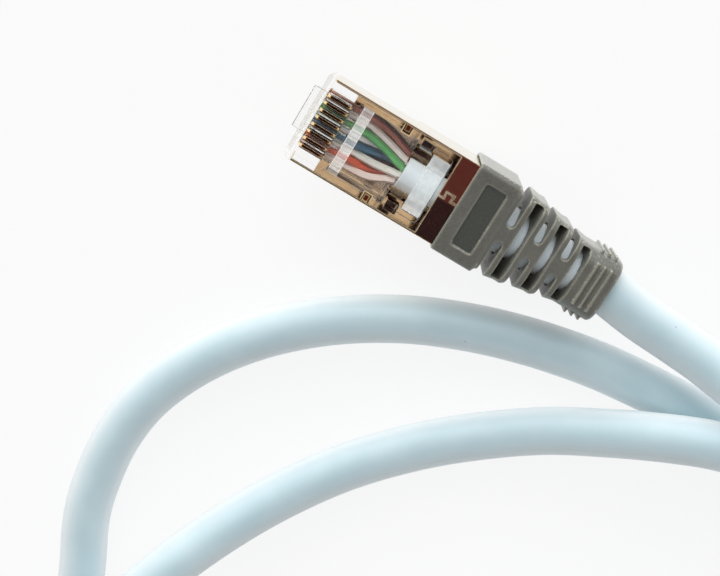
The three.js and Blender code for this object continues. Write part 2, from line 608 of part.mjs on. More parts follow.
// A sprung arm that leaves the nose and slopes away under the plug, wide to its catch shoulders.
function latch() {
  const slope = Math.tan(degrees(LATCH_ANGLE));
  const bend = HINGE_X + LATCH_ROOT_THICKNESS / 2;
  const bevel = LATCH_ROOT_THICKNESS / 3;
  const under = (x, thickness) => [x, LATCH_TOP - Math.max(0, x - bend) * slope - thickness];
  const root = LATCH_ROOT_WIDTH / 2;
  const arm = sideProfile([
    under(0, LATCH_ROOT_THICKNESS - bevel), under(bevel, LATCH_ROOT_THICKNESS),
    under(bend, LATCH_ROOT_THICKNESS), under(bend + LATCH_NECK_LENGTH, LATCH_NECK_THICKNESS),
    under(LATCH_SHOULDER_X - LATCH_RAMP, LATCH_THICKNESS), under(LATCH_SHOULDER_X, LATCH_THICKNESS),
    under(LATCH_END - LATCH_BEVEL, LATCH_TAIL_THICKNESS), under(LATCH_END, LATCH_TAIL_THICKNESS - LATCH_BEVEL),
    under(LATCH_END, 0), under(bend, 0), under(bevel, 0), under(0, bevel),
  ], -root, root);
  const tail = LATCH_TAIL_WIDTH / 2;
  const far = LATCH_END + OVERSHOOT;
  const sideCuts = [-1, 1].map((side) => planShape(new THREE.Shape([
    new THREE.Vector2(LATCH_SHOULDER_X, side * (root + OVERSHOOT)),
    new THREE.Vector2(LATCH_SHOULDER_X, side * (tail + LATCH_RELIEF)),
    new THREE.Vector2(LATCH_SHOULDER_X + 2 * LATCH_RELIEF, side * tail),
    new THREE.Vector2(far, side * tail),
    new THREE.Vector2(far, side * (root + OVERSHOOT)),
  ]), -OVERSHOOT, CONTACT_FACE_Z));
  return cut(arm, sideCuts);
}

// ---- the boot ----

const EDGE_SLOTS = Array.from({ length: FINS }, (_, fin) => BLOCK_LENGTH + BLOCK_TO_SLOT + fin * FIN_PITCH);
const THROUGH_SLOTS = EDGE_SLOTS.map((along) => along + FIN_PITCH / 2);
const RIB_PLACES = Array.from({ length: RIBS }, (_, rib) =>
  BOOT_LENGTH - RIB_SETBACK - (RIBS - 1 - rib) * RIB_PITCH);
const finInset = (fin) => FIN_TAPER[fin] * (BOOT_HALF_WIDTH - COLLAR_HALF_WIDTH);

// The outside of the boot: a block over the plug's rear, three waisted fins and a round-cornered collar.
function bootSkin() {
  const station = (along, inset, drop, radius, underside = FIN_BOTTOM) => ({
    x: BOOT_FRONT + along,
    halfWidth: BOOT_HALF_WIDTH - inset,
    top: BOOT_TOP - drop,
    bottom: underside + drop,
    radius,
  });
  const ofBlock = (along, inset, drop, radius) => station(along, inset, drop, radius, BOOT_BOTTOM);
  const collar = (along, inset) => ({
    x: BOOT_FRONT + along,
    halfWidth: COLLAR_HALF_WIDTH - inset,
    top: CORD_AXIS + COLLAR_HALF_HEIGHT - inset,
    bottom: CORD_AXIS - COLLAR_HALF_HEIGHT + inset,
    radius: COLLAR_CORNER - inset,
  });
  const half = EDGE_SLOT_WIDTH / 2;
  const fins = EDGE_SLOTS.flatMap((slot, fin) => {
    const inset = finInset(fin);
    const corner = FIN_CORNER + inset / 4;
    const front = station(slot + half, inset, FIN_DROP, corner);
    if (fin + 1 === FINS) return [front];
    const rear = slot + FIN_PITCH - half;
    return [
      front,
      station(THROUGH_SLOTS[fin], inset + FIN_WAIST, FIN_DROP, corner),
      station(rear - half, inset + FIN_DRAW, FIN_DROP, corner),
      station(rear, inset + FIN_DRAW + SHOULDER_DROP, SHOULDER_DROP, corner),
    ];
  });
  return loft([
    ofBlock(0, BLOCK_BEVEL, BLOCK_BEVEL, BLOCK_CORNER - BLOCK_BEVEL),
    ofBlock(2 * BLOCK_BEVEL, 0, 0, BLOCK_CORNER),
    ofBlock(BLOCK_LENGTH - BLOCK_SHOULDER, 0, 0, BLOCK_CORNER),
    ofBlock(BLOCK_LENGTH - SHOULDER_DROP, SHOULDER_DROP, SHOULDER_DROP / 4, BLOCK_CORNER + SHOULDER_DROP),
    ofBlock(BLOCK_LENGTH, 2 * SHOULDER_DROP, SHOULDER_DROP, BLOCK_CORNER + SHOULDER_DROP),
    ...fins,
    collar(THROUGH_SLOTS.at(-1), 0), collar(BOOT_LENGTH - COLLAR_BEVEL, 0),
    collar(BOOT_LENGTH, COLLAR_BEVEL),
  ]);
}

// Three low ribs round the collar, each broken at the four corners.
function collarRibs() {
  const outer = (along, grow) => ({
    x: BOOT_FRONT + along,
    halfWidth: COLLAR_HALF_WIDTH + grow,
    top: CORD_AXIS + COLLAR_HALF_HEIGHT + grow,
    bottom: CORD_AXIS - COLLAR_HALF_HEIGHT - grow,
    radius: RIB_CORNER,
  });
  const rings = RIB_PLACES.map((place) => loft([
    outer(place - RIB_WIDTH / 2, -RIB_SINK), outer(place - RIB_WIDTH / 4, RIB_HEIGHT),
    outer(place + RIB_WIDTH / 4, RIB_HEIGHT), outer(place + RIB_WIDTH / 2, -RIB_SINK),
  ]));
  const x0 = BOOT_FRONT + RIB_PLACES[0] - OVERSHOOT;
  const span = (side, half) => [side * (half - RIB_BREAK), side * (half + OVERSHOOT)].sort((a, b) => a - b);
  const cornerCuts = [[-1, -1], [-1, 1], [1, -1], [1, 1]].map(([sideY, sideZ]) => {
    const [y0, y1] = span(sideY, COLLAR_HALF_WIDTH);
    const [z0, z1] = span(sideZ, COLLAR_HALF_HEIGHT);
    return block(x0, BOOT_END, y0, y1, CORD_AXIS + z0, CORD_AXIS + z1);
  });
  return cut(joined(rings), cornerCuts);
}

// Two ears under the plug that shield the latch's tail from snagging, joined to the block.
function latchGuard() {
  const inner = LATCH_TAIL_WIDTH / 2 + GUARD_GAP;
  const outer = inner + GUARD_WALL;
  const ceiling = REAR_BOTTOM - RUNNING_GAP;
  const root = BOOT_FRONT + BLOCK_LENGTH / 2;
  const heel = BOOT_FRONT + BLOCK_LENGTH - BLOCK_SHOULDER;
  const toe = GUARD_FRONT + GUARD_TOE;
  const sunk = BOOT_BOTTOM + BOOT_WALL / 2;
  const ears = sideProfile([
    [GUARD_FRONT, GUARD_TOE], [toe, 0], [root, 0], [heel, BOOT_BOTTOM], [heel, sunk],
    [BOOT_FRONT + BOOT_WALL, sunk], [BOOT_FRONT, ceiling], [GUARD_FRONT + BOOT_WALL, ceiling],
    [GUARD_FRONT, ceiling - BOOT_WALL],
  ], -outer, outer);
  const channel = planShape(
    roundedRectangle(GUARD_FRONT - 2 * OVERSHOOT, BOOT_FRONT - GUARD_WALL, -inner, inner, GUARD_WALL / 2),
    -OVERSHOOT, CONTACT_FACE_Z, 3);
  return ears.subtract(channel);
}

function edgeSlots() {
  return EDGE_SLOTS.flatMap((along) => [-1, 1].map((side) => {
    const x = BOOT_FRONT + along;
    const half = EDGE_SLOT_WIDTH / 2;
    const end = side * (BRIDGE_WIDTH / 2 + half);
    const shape = new THREE.Shape();
    shape.moveTo(x - half, side * PLUG_WIDTH);
    shape.lineTo(x - half, end);
    if (side > 0) shape.absarc(x, end, half, Math.PI, 2 * Math.PI);
    else shape.absarc(x, end, half, Math.PI, 0, true);
    shape.lineTo(x + half, side * PLUG_WIDTH);
    return planShape(shape, -OVERSHOOT, BOOT_TOP + OVERSHOOT, 5);
  }));
}

function throughSlots() {
  return THROUGH_SLOTS.map((along, fin) => {
    const x = BOOT_FRONT + along;
    const half = THROUGH_SLOT_WIDTH / 2;
    const waist = Math.max(COLLAR_HALF_WIDTH, BOOT_HALF_WIDTH - finInset(fin) - FIN_WAIST);
    const y = waist - THROUGH_SLOT_WALL;
    return block(x - half, x + half, -y, y, -OVERSHOOT, BOOT_TOP + OVERSHOOT);
  });
}

function boot() {
  const skin = joined([bootSkin(), collarRibs(), latchGuard()]);
  const half = HALF_WIDTH + SLIP_FIT;
  const pocket = block(BOOT_FRONT - OVERSHOOT, SHIELD_REAR + SLIP_FIT, -half, half, REAR_BOTTOM - SLIP_FIT,
    CONTACT_FACE_Z + SLIP_FIT);
  const roomRadius = BARREL_RADIUS + BARREL_WALL + SLIP_FIT;
  const barrelRoom = rod(SHIELD_REAR, BARREL_END + SLIP_FIT, 0, CORD_AXIS, roomRadius, BORE_SIDES);
  const bore = rod(SHIELD_REAR, BOOT_END + OVERSHOOT, 0, CORD_AXIS, BORE_RADIUS, BORE_SIDES);
  const recessFront = BOOT_FRONT + RECESS_CENTRE - RECESS_LENGTH / 2;
  const label = planShape(
    roundedRectangle(recessFront, recessFront + RECESS_LENGTH, -RECESS_WIDTH / 2, RECESS_WIDTH / 2,
      RECESS_DEPTH),
    BOOT_TOP - RECESS_DEPTH, BOOT_TOP + OVERSHOOT, 3);
  return cut(skin, [pocket, barrelRoom, bore, label, ...edgeSlots(), ...throughSlots()]);
}

// ---- the cord's end inside the plug ----

// A ring or rod along X, turned from a profile of radius and place.
function turned(profile, sides) {
  const geometry = new THREE.LatheGeometry(profile.map(([radius, x]) => new THREE.Vector2(radius, x)), sides);
  geometry.rotateZ(-Math.PI / 2);
  geometry.translate(0, 0, CORD_AXIS);
  return solidOf(geometry);
}

// The cut end of the sheath, hollow where the eight wires come out.
function sheathEnd() {
  const inner = CORD_RADIUS - SHEATH_WALL;
  return turned([
    [0, JACKET_FRONT + WIRE_WELL], [inner, JACKET_FRONT + WIRE_WELL], [inner, JACKET_FRONT],
    [CORD_RADIUS, JACKET_FRONT], [CORD_RADIUS, JACKET_REAR], [0, JACKET_REAR],
  ], BORE_SIDES);
}

// The braid, folded back over the sheath under the crimp barrel.
function braid() {
  const inner = CORD_RADIUS + SHEET_FIT;
  const outer = inner + BRAID_WALL;
  const rear = BRAID_FRONT + BRAID_LENGTH;
  return turned([
    [inner, BRAID_FRONT], [outer, BRAID_FRONT], [outer, rear], [inner, rear], [inner, BRAID_FRONT],
  ], BORE_SIDES);
}

// ---- the free cord ----

// The coil: it winds clockwise and inward on the surface, climbs a layer in a half turn, and winds out again.
function coilPoint(turn) {
  const pitch = CORD_DIAMETER + COIL_TURN_GAP;
  const middle = COIL_TURNS / 2;
  const radius = COIL_RADIUS - pitch * (middle - Math.abs(turn - middle));
  const climb = THREE.MathUtils.clamp((turn - middle) / COIL_CLIMB_TURNS + 0.5, 0, 1);
  const angle = degrees(COIL_START_ANGLE) - turn * 2 * Math.PI;
  return new THREE.Vector3(
    COIL_CENTRE[0] + radius * Math.cos(angle), COIL_CENTRE[1] + radius * Math.sin(angle),
    CORD_REST_Z + pitch * climb * climb * (3 - 2 * climb),
  );
}

// The coil's centre line, with a straight diameter at each end.
function coilLine() {
  const count = Math.round(COIL_TURNS * COIL_STEPS_PER_TURN);
  const wound = Array.from({ length: count + 1 }, (_, k) => coilPoint(k / count * COIL_TURNS));
  const instant = 1e-4;
  const way = (from, to) => new THREE.Vector3().subVectors(coilPoint(to), coilPoint(from)).normalize();
  const startWay = way(instant, 0);
  const endWay = way(COIL_TURNS - instant, COIL_TURNS);
  const straight = (base, along, share) => base.clone().addScaledVector(along, CORD_DIAMETER * share);
  return [
    straight(wound[0], startWay, 1), straight(wound[0], startWay, 0.5), ...wound,
    straight(wound[count], endWay, 0.5), straight(wound[count], endWay, 1),
  ];
}

// The least distance between two points of a tube that are further apart along it than around a bend.
function leastGap(points, diameter) {
  const apart = COIL_STEPS_PER_TURN / 2;
  let least = Infinity;
  points.forEach((a, i) => {
    points.slice(i + apart).forEach((b) => {
      least = Math.min(least, a.distanceTo(b) - diameter);
    });
  });
  return least;
}

const COIL_LINE = coilLine();
const FIRST_WAY = new THREE.Vector3().subVectors(COIL_LINE[0], COIL_LINE[1]).normalize();
const LAST_WAY = new THREE.Vector3().subVectors(COIL_LINE.at(-1), COIL_LINE.at(-2)).normalize();
const farWay = new THREE.Vector3(Math.cos(degrees(FAR_HEADING)), Math.sin(degrees(FAR_HEADING)), 0);
const farMouth = new THREE.Vector3(...FAR_EXIT, RIB_TOP - CORD_AXIS);

function beyond(point, way, distances) {
  return distances.map((distance) => point.clone().addScaledVector(way, distance));
}

const asVectors = (route) => route.map((point) => new THREE.Vector3(...point));

function leadCurve() {
  const start = JACKET_REAR + FACE_GAP - BOOT_END / 2;
  const first = new THREE.Vector3(start, 0, CORD_AXIS);
  const along = new THREE.Vector3(1, 0, 0);
  return new THREE.CatmullRomCurve3([
    ...beyond(first, along, [0, FACE_GAP * 4]), ...asVectors(LEAD_ROUTE),
    ...beyond(COIL_LINE[0], FIRST_WAY, [EASE, EASE / 2, FACE_GAP]),
  ]);
}

function runCurve() {
  const inside = BOOT_END - JACKET_REAR - FACE_GAP;
  return new THREE.CatmullRomCurve3([
    ...beyond(COIL_LINE.at(-1), LAST_WAY, [FACE_GAP, EASE / 2, EASE]), ...asVectors(RUN_ROUTE),
    ...beyond(farMouth, farWay, [-EASE, -EASE / 2, inside]),
  ]);
}

// ---- the assembly ----

function mesh(name, geometry, material) {
  const piece = new THREE.Mesh(geometry, material);
  piece.name = name;
  return piece;
}

function plug(end) {
  const group = new THREE.Group();
  const add = (name, solid, material) => group.add(mesh(`${end}_${name}`, geometryOf(solid), material));
  add('housing', housing(), CLEAR_PLASTIC);
  add('latch', latch(), CLEAR_PLASTIC);
  add('shield', shield(), GILT);
  add('load_bar', loadBar(), CLEAR_PLASTIC);
  add('strain_bar', strainBar(), CLEAR_PLASTIC);
  add('sheath_end', sheathEnd(), SHEATH);
  add('braid', braid(), BRAID);
  add('boot', boot(), GREY_VINYL);
  for (let pin = 0; pin < PINS; pin += 1) {
    add(`contact_${pin + 1}`, contact(pin), GILT);
    add(`wire_${pin + 1}_${WIRE_NAMES[pin]}`, wire(pin), finish(WIRE_COLOURS[pin], 0.45));
  }
  return group;
}

function nearPlug() {
  const group = plug('near');
  group.position.x = -BOOT_END / 2;
  return group;
}

// The far plug lies turned over, with its latch up, and its cord comes in along the far heading.
function farPlug() {
  const turnedOver = plug('far');
  turnedOver.rotation.x = Math.PI;
  turnedOver.position.z = RIB_TOP;
  const group = new THREE.Group();
  group.add(turnedOver);
  group.rotation.z = degrees(FAR_HEADING) + Math.PI;
  group.position.set(farMouth.x + farWay.x * BOOT_END, farMouth.y + farWay.y * BOOT_END, 0);
  return group;
}

const cable = new THREE.Group();
const coilSteps = Math.round(COIL_TURNS * COIL_STEPS_PER_TURN) + 4;
const coilCurve = new THREE.CatmullRomCurve3(COIL_LINE);
const lead = leadCurve();
const run = runCurve();
cable.add(mesh('cable_lead', roundBar(lead, CORD_RADIUS, CORD_SIDES, LEAD_STEPS), SHEATH));
cable.add(mesh('cable_coil', roundBar(coilCurve, CORD_RADIUS, COIL_SIDES, coilSteps), SHEATH));
cable.add(mesh('cable_run', roundBar(run, CORD_RADIUS, CORD_SIDES, RUN_STEPS), SHEATH));

const patchCable = new THREE.Group();
patchCable.add(nearPlug(), farPlug(), cable);

const free = lead.getLength() + coilCurve.getLength() + run.getLength();
console.log(`cord: lead ${lead.getLength().toFixed(1)}, coil ${coilCurve.getLength().toFixed(1)}, run ` +
  `${run.getLength().toFixed(1)}, free length ${free.toFixed(1)} mm`);
console.log(`coil: least gap to itself ${leastGap(COIL_LINE, CORD_DIAMETER).toFixed(2)} mm`);

export default patchCable;
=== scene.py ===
"""Dresses the network patch cable: clear plugs, gilt shields, grey slotted boots and one pale blue cord."""

import logging
import math
from dataclasses import dataclass, field
from enum import Enum

import bmesh
import bpy
import numpy as np
from mathutils import Matrix, Vector


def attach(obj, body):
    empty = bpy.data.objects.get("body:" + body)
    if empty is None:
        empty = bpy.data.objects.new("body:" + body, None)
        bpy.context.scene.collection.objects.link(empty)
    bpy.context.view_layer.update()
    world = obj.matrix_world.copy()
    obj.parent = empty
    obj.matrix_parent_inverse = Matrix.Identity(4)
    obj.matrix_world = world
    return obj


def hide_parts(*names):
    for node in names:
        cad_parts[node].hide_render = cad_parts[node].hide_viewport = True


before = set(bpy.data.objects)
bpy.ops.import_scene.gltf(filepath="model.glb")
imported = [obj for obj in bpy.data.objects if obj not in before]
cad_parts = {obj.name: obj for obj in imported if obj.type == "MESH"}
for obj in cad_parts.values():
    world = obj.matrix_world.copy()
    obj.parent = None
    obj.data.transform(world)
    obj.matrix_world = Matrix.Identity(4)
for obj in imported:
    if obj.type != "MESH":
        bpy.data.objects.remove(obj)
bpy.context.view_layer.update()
LOG = logging.getLogger("patch_cable")
MM = 0.001
Colour = tuple[float, float, float, float]
Span = tuple[float, float]
Triple = tuple[float, float, float]


# ---- places that the solids give ----

class End(Enum):
    """The two ends of the cable, by the name that their nodes start with."""

    NEAR = "near"
    FAR = "far"

    def node(self, name: str) -> str:
        """The name of one of this end's nodes or pieces."""
        return f"{self.value}_{name}"


@dataclass(frozen=True)
class PlugPlace:
    """Where each plug lies, in millimetres, with the plug's own X from its nose to its cord."""

    boot_end: float = 45.4
    turned_height: float = 12.44
    cord_axis: float = 7.6
    far_exit: tuple[float, float] = (80.0, -0.5)
    far_heading: float = 7.5

    def far_way(self) -> Vector:
        """The direction in which the cord enters the far plug."""
        angle = math.radians(self.far_heading)
        return Vector((math.cos(angle), math.sin(angle), 0))

    def far_mouth(self) -> Vector:
        """The middle of the far boot's cord end."""
        return Vector((*self.far_exit, self.turned_height - self.cord_axis))

    def matrix(self, end: End) -> Matrix:
        """The move from a plug's own millimetres to the part's metres.

        Args:
            end: The plug that is placed.

        Returns:
            One matrix that scales, turns and moves.
        """
        scale = Matrix.Scale(MM, 4)
        if end is End.NEAR:
            return scale @ Matrix.Translation((-self.boot_end / 2, 0, 0))
        heel = self.far_mouth() + self.far_way() * self.boot_end
        heel.z = 0
        return (scale @ Matrix.Translation(heel)
                @ Matrix.Rotation(math.radians(self.far_heading) + math.pi, 4, "Z")
                @ Matrix.Translation((0, 0, self.turned_height)) @ Matrix.Rotation(math.pi, 4, "X"))


PLACE = PlugPlace()


# ---- shader arithmetic ----

class Course(Enum):
    """How a ramp runs between its ends."""

    STRAIGHT = "LINEAR"
    SMOOTH = "SMOOTHSTEP"


class Owner(Enum):
    """What a sheet of nodes belongs to, by the type of its output node."""

    MATERIAL = "ShaderNodeOutputMaterial"
    WORLD = "ShaderNodeOutputWorld"

    def start(self, name: str) -> bpy.types.ID:
        """Makes a new material or world."""
        return (bpy.data.worlds if self is Owner.WORLD else bpy.data.materials).new(name)


class Link:
    """A value that a node gives, with arithmetic that adds the nodes it needs."""

    def __init__(self, sheet: "Sheet", socket: bpy.types.NodeSocket) -> None:
        """Wraps one output socket of a sheet's nodes."""
        self.sheet = sheet
        self.socket = socket

    def _math(self, operation: str, first: "Link | float", second: "Link | float") -> "Link":
        """One Math node.

        Args:
            operation: The node's operation.
            first: Its first value.
            second: Its second value.

        Returns:
            The node's value.
        """
        node = self.sheet.node("ShaderNodeMath", {"operation": operation}, {0: first, 1: second})
        return Link(self.sheet, node.outputs[0])

    def __add__(self, other: "Link | float") -> "Link":
        """The sum."""
        return self._math("ADD", self, other)

    __radd__ = __add__

    def __sub__(self, other: "Link | float") -> "Link":
        """The difference."""
        return self._math("SUBTRACT", self, other)

    def __rsub__(self, other: "Link | float") -> "Link":
        """The difference from a number."""
        return self._math("SUBTRACT", other, self)

    def __mul__(self, other: "Link | float") -> "Link":
        """The product."""
        return self._math("MULTIPLY", self, other)

    __rmul__ = __mul__

    def least(self, other: "Link | float") -> "Link":
        """The smaller of two values."""
        return self._math("MINIMUM", self, other)

    def most(self, other: "Link | float") -> "Link":
        """The larger of two values."""
        return self._math("MAXIMUM", self, other)

    def size(self) -> "Link":
        """The value without its sign."""
        return self._math("ABSOLUTE", self, 0.0)

    def above(self, threshold: float) -> "Link":
        """1 where the value is over a threshold, and 0 elsewhere."""
        return self._math("GREATER_THAN", self, threshold)

    def between(self, low: float, high: float) -> "Link":
        """A share spread over a range, which has its low end at 0 and its high end at 1."""
        return self * (high - low) + low

    def ramp(self, low: float, high: float, course: Course = Course.STRAIGHT) -> "Link":
        """The value as a share of a range, held between 0 and 1.

        Args:
            low: The value that gives 0.
            high: The value that gives 1.
            course: How the share runs between them.

        Returns:
            The share.
        """
        node = self.sheet.node("ShaderNodeMapRange", {"clamp": True, "interpolation_type": course.value},
                               {"Value": self, "From Min": low, "From Max": high})
        return Link(self.sheet, node.outputs[0])


class Sheet:
    """The nodes of one material, or of the world."""

    def __init__(self, name: str, owner: Owner = Owner.MATERIAL) -> None:
        """Starts a material or a world with only its output.

        Args:
            name: Its name.
            owner: Which of the two it is.
        """
        self.owned = owner.start(name)
        self.owned.use_nodes = True
        self.tree = self.owned.node_tree
        self.tree.nodes.clear()
        self.output = self.tree.nodes.new(owner.value)

    def node(self, kind: str, settings: dict | None = None, sockets: dict | None = None) -> bpy.types.Node:
        """Adds a node.

        Args:
            kind: The node's type.
            settings: Its properties.
            sockets: Values or links for its inputs, by name or number.

        Returns:
            The node.
        """
        made = self.tree.nodes.new(kind)
        for name, value in (settings or {}).items():
            setattr(made, name, value)
        for key, value in (sockets or {}).items():
            if isinstance(value, Link):
                self.tree.links.new(value.socket, made.inputs[key])
            else:
                made.inputs[key].default_value = value
        return made

    def value(self, node: bpy.types.Node, output: int | str = 0) -> Link:
        """One output of a node as a value."""
        return Link(self, node.outputs[output])

    def given(self, kind: str, output: int | str = 0) -> Link:
        """One output of a node that has no inputs to set."""
        return self.value(self.node(kind), output)

    def place(self, stretch: Triple = (1, 1, 1)) -> Link:
        """A point's place in millimetres, stretched along the part's axes.

        Args:
            stretch: What each axis is multiplied by.

        Returns:
            The place as a vector.
        """
        scale = tuple(share / MM for share in stretch)
        scaled = self.node("ShaderNodeVectorMath", {"operation": "MULTIPLY"},
                           {0: self.given("ShaderNodeTexCoord", "Object"), 1: scale})
        return self.value(scaled)

    def noise(self, size: float, detail: float = 2.0, stretch: Triple = (1, 1, 1)) -> Link:
        """Cloudy noise between 0 and 1.

        Args:
            size: How far apart its clouds are, in millimetres.
            detail: How many finer layers it has.
            stretch: What each axis is multiplied by before the noise is read.

        Returns:
            The noise.
        """
        made = self.node("ShaderNodeTexNoise", None,
                         {"Vector": self.place(stretch), "Scale": 1 / size, "Detail": detail})
        return self.value(made)

    def cells(self, size: float) -> Link:
        """The distance to the nearest of scattered points, in cell sizes."""
        made = self.node("ShaderNodeTexVoronoi", None, {"Vector": self.place(), "Scale": 1 / size})
        return self.value(made, "Distance")

    def dot(self, first: Link, second: Link | Vector | Triple) -> Link:
        """The dot product of two vectors."""
        made = self.node("ShaderNodeVectorMath", {"operation": "DOT_PRODUCT"}, {0: first, 1: second})
        return self.value(made, "Value")

    def edges(self, radius: float, samples: int = 6) -> Link:
        """How near a point is to an edge: 0 on open faces, more at the edge itself.

        Args:
            radius: How wide the edge counts, in millimetres.
            samples: How finely it is looked for.

        Returns:
            One minus the cosine of the turn that rounding would give.
        """
        rounded = self.node("ShaderNodeBevel", {"samples": samples}, {"Radius": radius * MM})
        return 1 - self.dot(self.value(rounded), self.given("ShaderNodeNewGeometry", "Normal"))

    def turned(self) -> Link:
        """How far a face is turned from the eye: 0 for one that looks straight at it, and 1 at its rim."""
        return self.value(self.node("ShaderNodeLayerWeight", None, {"Blend": 0.5}), "Facing")

    def colours(self, share: Link | float, low: Colour | Link, high: Colour | Link) -> Link:
        """A mix of two colours.

        Args:
            share: How much of the second colour there is.
            low: The first colour.
            high: The second colour.

        Returns:
            The mixed colour.
        """
        made = self.node("ShaderNodeMix", {"data_type": "RGBA"}, {0: share, 6: low, 7: high})
        return self.value(made, 2)

    def bump(self, height: Link, depth: float, strength: float = 1.0) -> Link:
        """A normal that is tilted by a height.

        Args:
            height: The height, between 0 and 1.
            depth: The full height in millimetres.
            strength: How much of it shows.

        Returns:
            The normal.
        """
        made = self.node("ShaderNodeBump", None,
                         {"Height": height, "Distance": depth * MM, "Strength": strength})
        return self.value(made)

    def surface(self, **sockets: "Link | float | Colour") -> bpy.types.Node:
        """A surface shader whose inputs are given by their names, with underscores for spaces."""
        named = {name.replace("_", " "): value for name, value in sockets.items()}
        return self.node("ShaderNodeBsdfPrincipled", None, named)

    def in_plug(self, end: End) -> tuple[Link, Link, Link]:
        """A point's place in a plug's own millimetres.

        Args:
            end: The plug.

        Returns:
            How far the point is along the plug, across it and above its foot.
        """
        place, turn, scale = PLACE.matrix(end).decompose()
        back = self.node("ShaderNodeMapping", {"vector_type": "TEXTURE"},
                         {"Vector": self.given("ShaderNodeTexCoord", "Object"), "Location": place,
                          "Rotation": turn.to_euler(), "Scale": scale})
        parts = self.node("ShaderNodeSeparateXYZ", None, {0: self.value(back)})
        return self.value(parts, "X"), self.value(parts, "Y"), self.value(parts, "Z")

    def mixed(self, share: Link, low: bpy.types.Node, high: bpy.types.Node) -> bpy.types.Node:
        """A mix of two shaders.

        Args:
            share: How much of the second shader there is.
            low: The first shader.
            high: The second shader.

        Returns:
            The mixing shader.
        """
        return self.node("ShaderNodeMixShader", None, {0: share, 1: self.value(low), 2: self.value(high)})

    def finished(self, shader: bpy.types.Node) -> bpy.types.ID:
        """Sends a shader to the output and gives the material or the world."""
        self.tree.links.new(shader.outputs[0], self.output.inputs["Surface"])
        return self.owned


def grey(value: float) -> Colour:
    """A neutral colour."""
    return (value, value, value, 1)


def linear(level: int) -> float:
    """One channel of a screen colour, from 0 to 255, in linear light."""
    share = level / 255
    return share / 12.92 if share <= 0.04045 else ((share + 0.055) / 1.055) ** 2.4


def tone(red: int, green: int, blue: int) -> Colour:
    """A colour as a screen shows it, from 0 to 255, in linear light."""
    return (linear(red), linear(green), linear(blue), 1)


# ---- finishes: sizes are in millimetres, and a span is the range of a value that runs from 0 to 1 ----

@dataclass(frozen=True)
class SheathVinyl:
    """The cord's pale blue jacket: satin, faintly clouded, with a painted pale sheen towards its rims, and a
    few specks.
    """

    name: str = "sheath_vinyl"
    light: Colour = tone(196, 219, 226)
    deep: Colour = tone(186, 211, 219)
    painted_rim_sheen: Colour = tone(246, 249, 250)
    speck: Colour = tone(120, 138, 150)
    cloud_size: float = 6.0
    cloud_span: Span = (0.3, 0.7)
    grain_size: float = 0.25
    painted_rim_sheen_span: Span = (0.05, 0.5)
    painted_rim_sheen_share: float = 0.68
    speck_gap: float = 3.4
    speck_rim: Span = (0.02, 0.05)
    patch_size: float = 9.0
    patch_span: Span = (0.5, 0.56)
    speck_share: float = 0.55
    gloss: Span = (0.36, 0.46)
    cloud_gloss: float = 0.08
    grain_height: float = 0.02
    ripple_size: float = 1.6
    ripple_height: float = 0.06
    wave_size: float = 11.0
    relief: float = 0.5
    relief_share: float = 0.6

    def material(self) -> bpy.types.Material:
        """Makes the material.

        Returns:
            The jacket's material.
        """
        sheet = Sheet(self.name)
        clouds = sheet.noise(self.cloud_size, 3)
        fine = sheet.noise(self.grain_size)
        clouded = sheet.colours(clouds.ramp(*self.cloud_span), self.deep, self.light)
        # Painted highlight: the jacket is mixed towards near white where its faces turn from the eye, towards
        # its rims.
        body = sheet.colours(sheet.turned().ramp(*self.painted_rim_sheen_span) * self.painted_rim_sheen_share, clouded, self.painted_rim_sheen)
        patches = sheet.noise(self.patch_size, 0).ramp(*self.patch_span)
        specks = (1 - sheet.cells(self.speck_gap).ramp(*self.speck_rim)) * patches
        height = (fine * self.grain_height + sheet.noise(self.ripple_size, 1) * self.ripple_height
                  + sheet.noise(self.wave_size, 1))
        return sheet.finished(sheet.surface(
            Base_Color=sheet.colours(specks * self.speck_share, body, self.speck),
            Roughness=fine.between(*self.gloss) + clouds * self.cloud_gloss,
            Normal=sheet.bump(height, self.relief, self.relief_share), IOR=1.5, Specular_IOR_Level=0.7))


